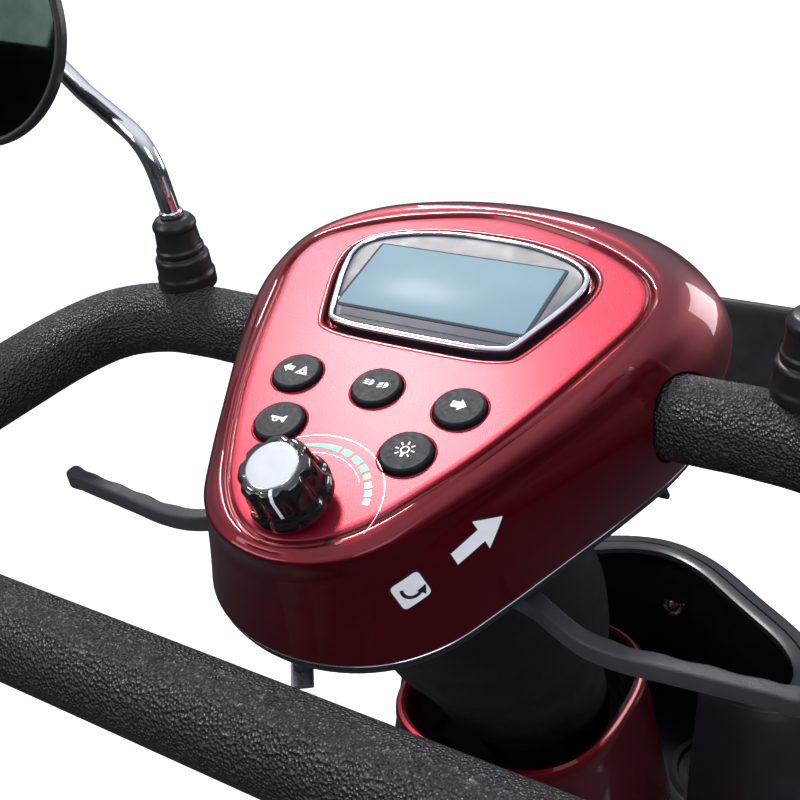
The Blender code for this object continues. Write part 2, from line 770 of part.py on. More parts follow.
def build_wheel(corner, x, y):
    outward = X_AXIS * math.copysign(1.0, x)
    frame = axis_frame((x, y, WHEEL_R), outward, Y_AXIS)
    tyre = [
        (BEAD_R, -0.0340), (0.1380, -TYRE_HALF), (0.1560, -0.0370), (WHEEL_R, -0.0160),
        (WHEEL_R, 0.0160), (0.1560, 0.0370), (0.1380, TYRE_HALF), (BEAD_R, 0.0340),
    ]
    emit("tyre_" + corner, lathe(tyre, WHEEL_SEGMENTS, frame, closed=True), "rubber", (x, y, WHEEL_R))
    drum = BEAD_R - 0.0005
    rim = [
        (0.0106, -0.0120), (0.0880, -0.0060), (0.0980, -0.0350), (drum, -0.0350),
        (drum, 0.0350), (0.0980, 0.0350), (0.0880, 0.0100), (0.0320, 0.0160), (0.0290, 0.0300),
        (0.0106, 0.0300),
    ]
    emit("rim_" + corner, lathe(rim, WHEEL_SEGMENTS, frame, closed=True), "alloy", (x, y, WHEEL_R))


# ---------------------------------------------------------------- chassis and drive


def build_chassis():
    frame = emit("chassis_frame", box((-0.10, -0.115, 0.160), (0.030, 0.950, 0.040)), "frame_black")
    join(frame, box((0.10, -0.115, 0.160), (0.030, 0.950, 0.040)), "rail_right")
    for y, label in ((0.350, "front"), (0.100, "middle"), (-0.180, "seat_front"), (-0.575, "rear")):
        join(frame, box((0.0, y, 0.160), (0.230, 0.030, 0.034)), "cross_" + label)
    join(frame, box((0.0, -0.350, 0.160), (0.230, 0.090, 0.030)), "post_plate")
    join(frame, box((0.0, 0.3520, 0.1860), (0.130, 0.028, 0.050)), "riser")
    join(frame, box((0.0, 0.4900, 0.2150), (0.110, 0.290, 0.020)), "subframe")
    join(frame, box((0.0, 0.455, 0.2600), (0.056, 0.090, 0.090)), "head_block")
    join(frame, cylinder(steer_point(HEAD_LOW), steer_point(HEAD_HIGH), 0.0240, 16), "head_tube")
    cut(frame, cylinder(steer_point(HEAD_LOW - 0.060), steer_point(HEAD_HIGH + 0.02), 0.0157, 16), "head_bore")
    for side, label in ((-1.0, "left"), (1.0, "right")):
        join(frame, box((side * 0.125, -0.575, 0.2550), (0.020, 0.030, 0.190)), "rear_upright_" + label)
        join(frame, box((side * 0.100, -0.6270, 0.1600), (0.024, 0.092, 0.024)), "rear_bumper_mount_" + label)
    mount = box((0.0, 0.500, 0.1960), (0.080, 0.030, 0.024))
    join(frame, mount, "axle_mount")

    post = emit("seat_post", cylinder((0.0, SEAT_AXIS.y, 0.1765), (0.0, SEAT_AXIS.y, 0.4700), 0.0250, 16),
                "frame_black")
    join(post, box((0.0, SEAT_AXIS.y, 0.1800), (0.090, 0.080, 0.007)), "foot")
    emit_box("battery_pack", (0.0, -0.2520, 0.2700), (0.300, 0.110, 0.170), "battery", 0.006, 1)
    drive = emit("transaxle", cylinder((-0.196, REAR_AXLE_Y, WHEEL_R), (0.196, REAR_AXLE_Y, WHEEL_R), 0.0240, 14),
                 "alloy")
    join(drive, box((0.0, REAR_AXLE_Y, WHEEL_R + 0.008), (0.110, 0.130, 0.120)), "gearbox")
    join(drive, cylinder((0.0, REAR_AXLE_Y - 0.02, WHEEL_R + 0.05), (0.0, REAR_AXLE_Y - 0.02, WHEEL_R + 0.150),
                         0.045, 16), "motor")
    for side, label in ((-1.0, "left"), (1.0, "right")):
        stub = cylinder((side * 0.150, REAR_AXLE_Y, WHEEL_R), (side * (REAR_TRACK + 0.036), REAR_AXLE_Y, WHEEL_R),
                        0.0100, 12)
        join(drive, stub, "axle_" + label)
        pad = box((side * 0.10, REAR_AXLE_Y, 0.1600), (0.0310, 0.060, 0.0410))
        cut(drive, pad, "rail_clearance_" + label)


def emit_box(name, centre, size, kind, width, segments, pivot=None, matrix=None):
    node = emit(name, box(centre, size, matrix), kind, pivot)
    bevel(node, width, segments)
    return node


# ---------------------------------------------------------------- bodywork


def build_deck():
    outline = mirrored_outline([
        (0.0, -0.160), (0.262, -0.160), (0.272, -0.150), (0.272, 0.160), (0.250, 0.235), (0.200, 0.292),
        (0.120, 0.318), (0.0, 0.318),
    ])
    rings = [[Vector((x, y, z)) for x, y in outline] for z in (0.1860, 0.2060)]
    emit("floor_deck", loft(rings), "black_plastic")
    mat = mirrored_outline([
        (0.0, -0.145), (0.240, -0.145), (0.250, -0.135), (0.250, 0.150), (0.230, 0.215), (0.185, 0.270),
        (0.110, 0.300), (0.0, 0.300),
    ])
    emit("floor_mat", loft([[Vector((x, y, z)) for x, y in mat] for z in (0.2064, 0.2110)]), "rubber")


SHROUD = [
    (0.2130, 0.1040, 0.3260, 0.5400), (0.3000, 0.1000, 0.3180, 0.5200), (0.4200, 0.0920, 0.2900, 0.4800),
    (0.5500, 0.0790, 0.2430, 0.4300), (0.6600, 0.0700, 0.1980, 0.3820), (0.7400, 0.0655, 0.1720, 0.3410),
    (0.7500, 0.0620, 0.1760, 0.3370),
]


def oval_ring(z, half, y0, y1, grow=0.0, count=24):
    """Rounded oval in plan, blunter towards the front."""
    ring = []
    centre, reach = (y0 + y1) / 2.0, (y1 - y0) / 2.0
    for i in range(count):
        a = 2.0 * math.pi * i / count
        c, s = math.cos(a), math.sin(a)
        x = math.copysign(abs(c) ** 0.85, c) * (half + grow)
        y = math.copysign(abs(s) ** 0.85, s) * (reach + grow) + centre
        ring.append(Vector((x, y, z)))
    return ring


def build_front_body():
    shroud = emit("front_shroud", loft([oval_ring(*row) for row in SHROUD], caps=False), "red_paint")
    solidify(shroud, 0.0035)
    cut(shroud, box((0.0, 0.540, 0.2150), (0.116, 0.080, 0.026)), "frame_notch")

    levels = [
        (0.700, [(0.080, 0.362), (0.118, 0.362), (0.146, 0.380), (0.152, 0.420), (0.132, 0.462),
                 (0.087, 0.503), (0.042, 0.540), (0.0, 0.553)]),
        (0.640, [(0.082, 0.352), (0.122, 0.352), (0.152, 0.370), (0.160, 0.420), (0.142, 0.474),
                 (0.094, 0.526), (0.045, 0.566), (0.0, 0.580)]),
        (0.540, [(0.090, 0.344), (0.130, 0.344), (0.160, 0.362), (0.170, 0.425), (0.152, 0.495),
                 (0.102, 0.562), (0.050, 0.604), (0.0, 0.618)]),
        (0.440, [(0.098, 0.336), (0.138, 0.336), (0.166, 0.354), (0.176, 0.430), (0.160, 0.512),
                 (0.108, 0.590), (0.053, 0.634), (0.0, 0.648)]),
        (0.362, [(0.104, 0.328), (0.142, 0.330), (0.168, 0.350), (0.178, 0.430), (0.162, 0.520),
                 (0.110, 0.606), (0.055, 0.652), (0.0, 0.664)]),
    ]
    rows = []
    for z, half in levels:
        line = [Vector((x, y, z)) for x, y in half]
        line += [Vector((-x, y, z)) for x, y in reversed(half[:-1])]
        rows.append(line)
    cowl = emit("front_fairing", skin(rows), "black_plastic")
    solidify(cowl, 0.0040)
    floor_ring = [(x, y) for x, y in [
        (0.0, 0.350), (0.094, 0.347), (0.130, 0.347), (0.158, 0.364), (0.166, 0.425), (0.148, 0.490),
        (0.098, 0.553), (0.047, 0.594), (0.0, 0.608),
    ]]
    floor = mirrored_outline(floor_ring)
    join(cowl, loft([[Vector((x, y, z)) for x, y in floor] for z in (0.5500, 0.5540)]), "inner_floor")
    for side, label in ((-1.0, "left"), (1.0, "right")):
        join(cowl, fender(side, FRONT_AXLE_Y, 0.108, 0.312, 0.206, 28.0, 166.0), "fender_" + label)
    nose_rows = []
    for z, w, y in ((0.366, 0.112, 0.600), (0.300, 0.108, 0.612), (0.230, 0.100, 0.616)):
        line = [(w, y), (w * 0.9, y + 0.030), (w * 0.5, y + 0.055), (0.0, y + 0.062)]
        pts = [Vector((px, py, z)) for px, py in line]
        pts += [Vector((-px, py, z)) for px, py in reversed(line[:-1])]
        back = [Vector((p.x * 0.93, p.y - 0.0045, p.z)) for p in reversed(pts)]
        nose_rows.append(pts + back)
    join(cowl, loft(nose_rows), "nose")
    cutter = [oval_ring(z, half, y0, y1, grow=0.0015) for z, half, y0, y1 in SHROUD]
    cut(cowl, loft(cutter), "shroud_clearance")
    lamp = cylinder((0.0, 0.590, 0.500), (0.0, 0.700, 0.480), 0.0465, 20)
    cut(cowl, lamp, "lamp_hole")

    lamp_frame = axis_frame((0.0, 0.610, 0.4965), Vector((0.0, 0.11, -0.02)), Z_AXIS)
    profile = [
        (0.0, -0.0340), (0.0180, -0.0320), (0.0380, -0.0120), (0.0455, 0.0040), (0.0455, 0.0260),
        (0.0400, 0.0340), (0.0, 0.0400),
    ]
    emit("headlight", lathe(profile, 24, lamp_frame), "lens_clear")

    bar = smooth([Vector((-0.150, 0.668, 0.240)), Vector((-0.110, 0.686, 0.240)), Vector((0.0, 0.690, 0.240)),
                  Vector((0.110, 0.686, 0.240)), Vector((0.150, 0.668, 0.240))], 2)
    guard = emit("front_bumper", rod(bar, 0.0100, 8), "frame_black")
    for side, label in ((-1.0, "left"), (1.0, "right")):
        stay = [Vector((side * 0.040, 0.6365, 0.2150)), Vector((side * 0.043, 0.6760, 0.2150)),
                Vector((side * 0.050, 0.6880, 0.2340))]
        join(guard, rod(stay, 0.0060, 8), "stay_" + label)


def fender(side, axle_y, inner_x, outer_x, radius, start, end):
    """Arched mudguard with a rolled outer lip."""
    steps = 11
    thickness = 0.0035
    rings = []
    for k in range(steps + 1):
        a = math.radians(start + (end - start) * k / steps)
        c, s = math.cos(a), math.sin(a)
        section = [
            (inner_x, radius), (outer_x - 0.012, radius), (outer_x, radius - 0.010),
            (outer_x, radius - 0.020), (outer_x - thickness, radius - 0.020),
            (outer_x - 0.012 - thickness * 0.4, radius - thickness),
            (inner_x, radius - thickness),
        ]
        rings.append([Vector((side * x, axle_y + c * r, WHEEL_R + s * r)) for x, r in section])
    return loft(rings)


def build_rear_body():
    stations = [
        (-0.1680, 0.2120), (-0.1760, 0.3300), (-0.1980, 0.3880), (-0.2350, 0.4080), (-0.3500, 0.4120),
        (-0.4700, 0.4080), (-0.5500, 0.3950), (-0.6100, 0.3650), (-0.6450, 0.3150), (-0.6600, 0.2400),
    ]
    rows = []
    for y, top in stations:
        low = min(0.2120, top)
        half = [
            (0.1900, low), (0.1880, low + (top - low) * 0.55), (0.1760, low + (top - low) * 0.88),
            (0.1500, top), (0.0750, top + 0.002), (0.0, top + 0.003),
        ]
        line = [Vector((x, y, z)) for x, z in half]
        line += [Vector((-x, y, z)) for x, z in reversed(half[:-1])]
        rows.append(line)
    cover = emit("rear_body_cover", skin(rows), "red_paint")
    solidify(cover, 0.0035)
    for side, label in ((-1.0, "left"), (1.0, "right")):
        join(cover, fender(side, REAR_AXLE_Y, 0.186, 0.305, 0.200, 14.0, 166.0), "fender_" + label)
    cut(cover, cylinder((0.0, SEAT_AXIS.y, 0.38), (0.0, SEAT_AXIS.y, 0.45), 0.0290, 20), "post_hole")
    lamp_slot = box((0.0, -0.6560, 0.2900), (0.244, 0.060, 0.044))
    cut(cover, lamp_slot, "tail_light_slot")
    tail = emit("tail_light", box((0.0, -0.6420, 0.2900), (0.240, 0.036, 0.040)), "lens_red")
    bevel(tail, 0.006, 2)
    bar = smooth([Vector((-0.225, -0.640, 0.200)), Vector((-0.200, -0.672, 0.200)), Vector((-0.120, -0.6860, 0.200)),
                  Vector((0.120, -0.6860, 0.200)), Vector((0.200, -0.672, 0.200)), Vector((0.225, -0.640, 0.200))], 2)
    guard = emit("rear_bumper", rod(bar, 0.0120, 8), "black_plastic")
    for side, label in ((-1.0, "left"), (1.0, "right")):
        stay = box((side * 0.100, -0.6785, 0.1790), (0.022, 0.008, 0.040))
        join(guard, stay, "stay_" + label)


# ---------------------------------------------------------------- seat


def build_seat():
    frame = emit("seat_frame", box((0.0, -0.340, 0.5040), (0.400, 0.340, 0.008)), "frame_black",
                 (0.0, SEAT_AXIS.y, 0.4750))
    join(frame, cylinder((0.0, SEAT_AXIS.y, 0.4710), (0.0, SEAT_AXIS.y, 0.5050), 0.0550, 20), "turntable")
    for side, label in ((-1.0, "left"), (1.0, "right")):
        join(frame, box((side * 0.2230, -0.5375, 0.5040), (0.1040, 0.1150, 0.0080)), "outrigger_" + label)
        post = box((side * (ARM_X - 0.0010), ARM_PIVOT_Y, 0.6460), (0.0070, 0.0240, 0.2900))
        join(frame, post, "arm_post_" + label)
        ear = box((side * 0.2320, BACK_HINGE.y, 0.5800), (0.0060, 0.0300, 0.1600))
        join(frame, ear, "back_ear_" + label)
        pin = cylinder((side * 0.2300, BACK_HINGE.y, BACK_HINGE.z), (side * 0.2080, BACK_HINGE.y, BACK_HINGE.z),
                       0.0050, 10)
        join(frame, pin, "back_pin_" + label)
    emit_box("seat_cushion", (0.0, -0.3250, 0.5550), (0.480, 0.430, 0.090), "leather", 0.030, 3,
                       (0.0, SEAT_AXIS.y, 0.4750))

    recline = Matrix.Translation(BACK_HINGE) @ Matrix.Rotation(math.radians(10.0), 4, "X")
    back = emit("seat_back", box((0.0, -0.0060, 0.2200), (0.450, 0.072, 0.490), recline), "leather", BACK_HINGE)
    bevel(back, 0.026, 3)
    for side, label in ((-1.0, "left"), (1.0, "right")):
        bore = cylinder((side * 0.2400, BACK_HINGE.y, BACK_HINGE.z), (side * 0.2060, BACK_HINGE.y, BACK_HINGE.z),
                        0.0056, 10)
        cut(back, bore, "hinge_bore_" + label)

    for side, label in ((-1.0, "left"), (1.0, "right")):
        pivot = Vector((side * ARM_X, ARM_PIVOT_Y, ARM_PIVOT_Z))
        hub_in = side * (ARM_X + 0.0030)
        hub_out = side * (ARM_X + 0.0230)
        arm = emit("armrest_" + label, cylinder((hub_in, ARM_PIVOT_Y, ARM_PIVOT_Z),
                                                (hub_out, ARM_PIVOT_Y, ARM_PIVOT_Z), 0.0170, 14),
                   "frame_black", pivot)
        join(arm, box((side * (ARM_X + 0.0130), -0.3600, 0.7920), (0.0180, 0.2860, 0.0160)), "beam")
        emit_box("arm_pad_" + label, (side * (ARM_X + 0.0130), -0.3560, 0.8180), (0.0560, 0.2860, 0.0350),
                 "leather", 0.0120, 2, pivot)
    lever_path = smooth([Vector((0.130, -0.250, 0.4890)), Vector((0.200, -0.240, 0.4890)),
                         Vector((0.250, -0.232, 0.4920)), Vector((0.286, -0.228, 0.4980))], 2)
    emit("swivel_lever", rod(lever_path, 0.0050, 8), "frame_black", (0.130, -0.250, 0.4890))


# ---------------------------------------------------------------- build

top_shell = build_console_shells()
build_panel_parts(top_shell)
build_handlebar()
build_column()
build_throttle()
build_tilt_lever()
build_mirror(-1.0, "left")
build_mirror(1.0, "right")
build_basket()
build_steering()
build_wheel("front_left", -FRONT_TRACK, FRONT_AXLE_Y)
build_wheel("front_right", FRONT_TRACK, FRONT_AXLE_Y)
build_wheel("rear_left", -REAR_TRACK, REAR_AXLE_Y)
build_wheel("rear_right", REAR_TRACK, REAR_AXLE_Y)
build_chassis()
build_deck()
build_front_body()
build_rear_body()
build_seat()
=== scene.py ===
"""Looks of the mobility scooter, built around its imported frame.

Metres, +X to the rider's right, +Y forward, +Z up, the ground at z = 0.
The console has its own frame, leaning CONSOLE_LEAN towards the rider about CONSOLE.
"""

import json
import math

import bmesh
import bpy
import numpy as np
from mathutils import Matrix, Vector
from mathutils.bvhtree import BVHTree

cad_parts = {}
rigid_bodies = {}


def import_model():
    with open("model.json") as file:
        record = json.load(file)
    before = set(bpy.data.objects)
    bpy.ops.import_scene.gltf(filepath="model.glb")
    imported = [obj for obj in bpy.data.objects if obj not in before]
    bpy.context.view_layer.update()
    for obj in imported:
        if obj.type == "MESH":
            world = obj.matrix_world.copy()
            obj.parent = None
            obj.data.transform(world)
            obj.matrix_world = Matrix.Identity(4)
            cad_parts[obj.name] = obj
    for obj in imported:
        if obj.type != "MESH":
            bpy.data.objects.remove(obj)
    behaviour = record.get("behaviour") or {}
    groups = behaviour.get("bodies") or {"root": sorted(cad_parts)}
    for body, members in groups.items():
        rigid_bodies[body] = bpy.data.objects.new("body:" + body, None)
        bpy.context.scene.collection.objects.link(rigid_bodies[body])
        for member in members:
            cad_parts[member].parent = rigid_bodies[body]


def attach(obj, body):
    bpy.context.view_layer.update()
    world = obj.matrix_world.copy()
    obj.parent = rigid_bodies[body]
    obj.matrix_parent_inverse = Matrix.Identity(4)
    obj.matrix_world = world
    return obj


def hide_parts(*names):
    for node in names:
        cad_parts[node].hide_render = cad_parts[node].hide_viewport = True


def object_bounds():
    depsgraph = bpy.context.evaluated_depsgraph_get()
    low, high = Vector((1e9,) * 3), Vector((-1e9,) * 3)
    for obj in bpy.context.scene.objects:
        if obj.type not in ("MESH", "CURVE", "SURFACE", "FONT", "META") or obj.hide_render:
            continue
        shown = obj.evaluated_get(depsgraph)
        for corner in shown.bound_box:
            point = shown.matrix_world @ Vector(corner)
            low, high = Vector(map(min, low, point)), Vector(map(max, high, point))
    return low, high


for leftover in list(bpy.data.objects):
    bpy.data.objects.remove(leftover, do_unlink=True)

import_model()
CAD_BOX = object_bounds()

# ---------------------------------------------------------------- driving dimensions

CONSOLE = Vector((0.0, 0.10, 1.00))
CONSOLE_LEAN = math.radians(13.5)
PANEL_SLOPE = math.radians(9.68)
PANEL_TILT = CONSOLE_LEAN + PANEL_SLOPE
KNOB_LEAN = math.radians(12.0)
SEAM_Z = -0.0615
SEAM_SLOPE = 0.0711

X_AXIS = Vector((1.0, 0.0, 0.0))
Y_AXIS = Vector((0.0, 1.0, 0.0))
Z_AXIS = Vector((0.0, 0.0, 1.0))

# ---------------------------------------------------------------- points and outlines


def console_point(x, y, z):
    """Console frame to world."""
    c, s = math.cos(CONSOLE_LEAN), math.sin(CONSOLE_LEAN)
    return CONSOLE + Vector((x, y * c - z * s, y * s + z * c))


def console_matrix():
    return Matrix.Translation(CONSOLE) @ Matrix.Rotation(CONSOLE_LEAN, 4, "X")


def panel_z(y):
    return math.tan(PANEL_SLOPE) * y


CONSOLE_UP = Vector((0.0, -math.sin(CONSOLE_LEAN), math.cos(CONSOLE_LEAN)))
PANEL_UP = Vector((0.0, -math.sin(PANEL_TILT), math.cos(PANEL_TILT)))


def panel_point(x, y, height=0.0):
    """Point at (x, y) of the console frame, on the panel, raised along its normal."""
    return console_point(x, y, panel_z(y)) + PANEL_UP * height


def level_point(x, y, height):
    """Point of a level outline, for slab."""
    return Vector((x, y, height))


def axis_frame(origin, axis, forward=Y_AXIS):
    """Matrix with local +Z on axis and local +Y as near to forward as it can be."""
    z = Vector(axis).normalized()
    x = Vector(forward).cross(z).normalized()
    y = z.cross(x)
    return Matrix.Translation(Vector(origin)) @ Matrix((x, y, z)).transposed().to_4x4()


def smooth(points, steps, cyclic=False):
    """Catmull-Rom through points of any size, steps pieces per span."""
    pts = [np.array(p, float) for p in points]
    count = len(pts)
    out = []
    for i in range(count if cyclic else count - 1):
        if cyclic:
            p0, p1, p2, p3 = (pts[(i + k - 1) % count] for k in range(4))
        else:
            p0, p1 = pts[max(i - 1, 0)], pts[i]
            p2, p3 = pts[i + 1], pts[min(i + 2, count - 1)]
        for k in range(steps):
            t = k / steps
            out.append(0.5 * (2 * p1 + (p2 - p0) * t + (2 * p0 - 5 * p1 + 4 * p2 - p3) * t * t
                              + (3 * p1 - p0 - 3 * p2 + p3) * t ** 3))
    if not cyclic:
        out.append(pts[-1])
    return out


def mirrored(right_half):
    """Closed outline from a right half that starts and ends on the centre line."""
    return list(right_half) + [(-x, y) for x, y in reversed(right_half[1:-1])]


def outline_normals(outline):
    pts = np.array(outline, float)
    tangent = np.roll(pts, -1, 0) - np.roll(pts, 1, 0)
    tangent /= np.linalg.norm(tangent, axis=1)[:, None] + 1e-12
    return np.stack([tangent[:, 1], -tangent[:, 0]], 1)


def offset_outline(outline, distance):
    return np.array(outline, float) + outline_normals(outline) * distance


def arc(centre, radius, start, end, steps):
    """Points of an arc; angles in degrees."""
    out = []
    for k in range(steps + 1):
        a = math.radians(start + (end - start) * k / steps)
        out.append((centre[0] + math.cos(a) * radius, centre[1] + math.sin(a) * radius))
    return out


def rounded_outline(corners, radius, steps=5):
    """Closed polygon with each corner replaced by an arc-like curve."""
    out = []
    count = len(corners)
    for i in range(count):
        p = np.array(corners[i], float)
        before = np.array(corners[i - 1], float) - p
        after = np.array(corners[(i + 1) % count], float) - p
        reach = min(radius, 0.48 * np.linalg.norm(before), 0.48 * np.linalg.norm(after))
        a = p + before / np.linalg.norm(before) * reach
        b = p + after / np.linalg.norm(after) * reach
        for k in range(steps + 1):
            t = k / steps
            out.append(tuple((1 - t) ** 2 * a + 2 * t * (1 - t) * p + t * t * b))
    return out


# ---------------------------------------------------------------- mesh building


def loft(rings, cyclic=False, caps=(True, True), closed=True):
    """Quads between rows of equal length. closed joins each row's ends, caps fill the first and last row."""
    bm = bmesh.new()
    rows = [[bm.verts.new(Vector(p)) for p in ring] for ring in rings]
    count = len(rows[0])
    pairs = list(zip(rows[:-1], rows[1:]))
    if cyclic:
        pairs.append((rows[-1], rows[0]))
    for low, high in pairs:
        for i in range(count if closed else count - 1):
            j = (i + 1) % count
            bm.faces.new((low[i], low[j], high[j], high[i]))
    if closed and not cyclic:
        if caps[0]:
            bm.faces.new(list(reversed(rows[0])))
        if caps[1]:
            bm.faces.new(rows[-1])
    return bm


def lathe(profile, matrix, segments=64, closed=False, ripple=None):
    """Turn (radius, height) about local Z. ripple(angle, radius, height) gives a changed radius."""
    rings = []
    for r, h in profile:
        ring = []
        for k in range(segments):
            a = 2 * math.pi * k / segments
            radius = ripple(a, r, h) if ripple else r
            ring.append(matrix @ Vector((math.cos(a) * radius, math.sin(a) * radius, h)))
        rings.append(ring)
    bm = loft(rings, cyclic=closed, caps=(True, True))
    bmesh.ops.remove_doubles(bm, verts=bm.verts, dist=1e-6)
    return bm


def arc_profile(points, radius=0.0006, steps=3):
    """Open (radius, height) profile with its inner corners rounded."""
    pts = [np.array(p, float) for p in points]
    out = [tuple(pts[0])]
    for before, p, after in zip(pts[:-2], pts[1:-1], pts[2:]):
        da, db = before - p, after - p
        la, lb = np.linalg.norm(da), np.linalg.norm(db)
        reach = min(radius, 0.45 * la, 0.45 * lb)
        a, b = p + da / la * reach, p + db / lb * reach
        for k in range(steps + 1):
            t = k / steps
            out.append(tuple((1 - t) ** 2 * a + 2 * t * (1 - t) * p + t * t * b))
    out.append(tuple(pts[-1]))
    return out


def sweep(path, section, cyclic=False, up=Z_AXIS, scale=None):
    """Carry a closed (u, v) section along a path; u is sideways, v is near up."""
    pts = [Vector(p) for p in path]
    count = len(pts)
    rings = []
    for i, point in enumerate(pts):
        if cyclic:
            before, after = pts[i - 1], pts[(i + 1) % count]
        else:
            before, after = pts[max(i - 1, 0)], pts[min(i + 1, count - 1)]
        tangent = (after - before).normalized()
        normal = (up - tangent * up.dot(tangent)).normalized()
        side = tangent.cross(normal)
        size = scale(i / (count - 1)) if scale else 1.0
        rings.append([point + side * (u * size) + normal * (v * size) for u, v in section])
    return loft(rings, cyclic=cyclic)


def circle(radius, count=20, squash=1.0):
    return [(math.cos(2 * math.pi * k / count) * radius, math.sin(2 * math.pi * k / count) * radius * squash)
            for k in range(count)]


def round_box_section(width, height, radius, steps=3):
    w, h = width / 2, height / 2
    return rounded_outline([(w, -h), (w, h), (-w, h), (-w, -h)], radius, steps)


def rod(path, radius, sides=20, cyclic=False, up=Z_AXIS):
    return sweep(path, circle(radius, sides), cyclic, up)


def slab(outline, low, high, place, edge=0.0, steps=2):
    """Plate with the outline between two heights, its upper edge rounded; place(x, y, h) gives the world point."""
    levels = [(0.0, low)]
    if edge:
        for k in range(steps + 1):
            a = math.pi / 2 * k / steps
            levels.append((edge * (1 - math.cos(a)), high - edge + edge * math.sin(a)))
    else:
        levels.append((0.0, high))
    rings = []
    for inset, height in levels:
        rings.append([place(x, y, height) for x, y in offset_outline(outline, -inset)])
    return loft(rings)


def beam_box(centre, size, edge=0.002, segments=2, matrix=None):
    """Box with rounded edges."""
    bm = bmesh.new()
    bmesh.ops.create_cube(bm, size=1.0)
    bmesh.ops.scale(bm, vec=Vector(size), verts=bm.verts)
    bmesh.ops.bevel(bm, geom=bm.edges[:], offset=edge, segments=segments, profile=0.5, affect="EDGES")
    bmesh.ops.translate(bm, vec=Vector(centre), verts=bm.verts)
    if matrix is not None:
        bmesh.ops.transform(bm, matrix=matrix, verts=bm.verts)
    return bm


def cylinder(start, end, radius, edge=0.001, segments=32, radius_end=None):
    """Rod between two points with rounded rims."""
    start, end = Vector(start), Vector(end)
    length = (end - start).length
    tip = radius if radius_end is None else radius_end
    profile = arc_profile([(0.0, 0.0), (radius, 0.0), (tip, length), (0.0, length)], edge, 3)
    axis = end - start
    forward = Z_AXIS if abs(axis.normalized().z) < 0.9 else Y_AXIS
    return lathe(profile, axis_frame(start, axis, forward), segments)


def merged(parts):
    out = bmesh.new()
    for part in parts:
        mesh = bpy.data.meshes.new("merge")
        part.to_mesh(mesh)
        part.free()
        out.from_mesh(mesh)
        bpy.data.meshes.remove(mesh)
    return out


def to_object(name, bm, material, angle=35.0):
    bmesh.ops.remove_doubles(bm, verts=bm.verts, dist=1e-6)
    bmesh.ops.recalc_face_normals(bm, faces=bm.faces)
    mesh = bpy.data.meshes.new(name)
    bm.to_mesh(mesh)
    bm.free()
    mesh.shade_smooth()
    mesh.set_sharp_from_angle(angle=math.radians(angle))
    obj = bpy.data.objects.new(name, mesh)
    bpy.context.scene.collection.objects.link(obj)
    if material is not None:
        mesh.materials.append(material)
    return obj


def piece(name, bm, material, body, stands_for=(), angle=35.0):
    """A finished piece with the given material that rides on a body and hides the imported parts it stands for."""
    obj = to_object(name, bm, material, angle)
    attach(obj, body)
    if stands_for:
        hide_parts(*stands_for)
    return obj


def boolean(obj, bm, operation="DIFFERENCE"):
    """Apply one boolean to an object's mesh."""
    helper = to_object("helper", bm, None)
    modifier = obj.modifiers.new("cut", "BOOLEAN")
    modifier.operation = operation
    modifier.solver = "EXACT"
    modifier.object = helper
    bpy.context.view_layer.update()
    result = bpy.data.meshes.new_from_object(obj.evaluated_get(bpy.context.evaluated_depsgraph_get()))
    obj.modifiers.clear()
    obj.data = result
    bpy.data.objects.remove(helper, do_unlink=True)
    return obj


def sharpen(obj, angle=35.0):
    obj.data.shade_smooth()
    obj.data.set_sharp_from_angle(angle=math.radians(angle))


# ---------------------------------------------------------------- materials


def node_of(tree, kind, **values):
    node = tree.nodes.new(kind)
    for key, value in values.items():
        setattr(node, key, value)
    return node


def noise(tree, coordinates, scale, detail=4.0, rough=0.55):
    node = node_of(tree, "ShaderNodeTexNoise")
    node.inputs["Scale"].default_value = scale
    node.inputs["Detail"].default_value = detail
    node.inputs["Roughness"].default_value = rough
    tree.links.new(coordinates, node.inputs["Vector"])
    return node.outputs["Fac"]


def cells(tree, coordinates, scale, feature="F1"):
    node = node_of(tree, "ShaderNodeTexVoronoi", feature=feature)
    node.inputs["Scale"].default_value = scale
    tree.links.new(coordinates, node.inputs["Vector"])
    return node


def remap(tree, value, low, high, start=0.3, end=0.7):
    node = node_of(tree, "ShaderNodeMapRange")
    node.inputs["From Min"].default_value = start
    node.inputs["From Max"].default_value = end
    node.inputs["To Min"].default_value = low
    node.inputs["To Max"].default_value = high
    tree.links.new(value, node.inputs["Value"])
    return node.outputs["Result"]


def blend_colour(tree, factor, first, second):
    node = node_of(tree, "ShaderNodeMix", data_type="RGBA")
    tree.links.new(factor, node.inputs["Factor"])
    for socket, value in ((node.inputs[6], first), (node.inputs[7], second)):
        if isinstance(value, bpy.types.NodeSocket):
            tree.links.new(value, socket)
        else:
            socket.default_value = (*value, 1.0)
    return node.outputs[2]


def bump(tree, height, distance, strength=1.0, below=None):
    node = node_of(tree, "ShaderNodeBump")
    node.inputs["Distance"].default_value = distance
    node.inputs["Strength"].default_value = strength
    tree.links.new(height, node.inputs["Height"])
    if below is not None:
        tree.links.new(below, node.inputs["Normal"])
    return node.outputs["Normal"]


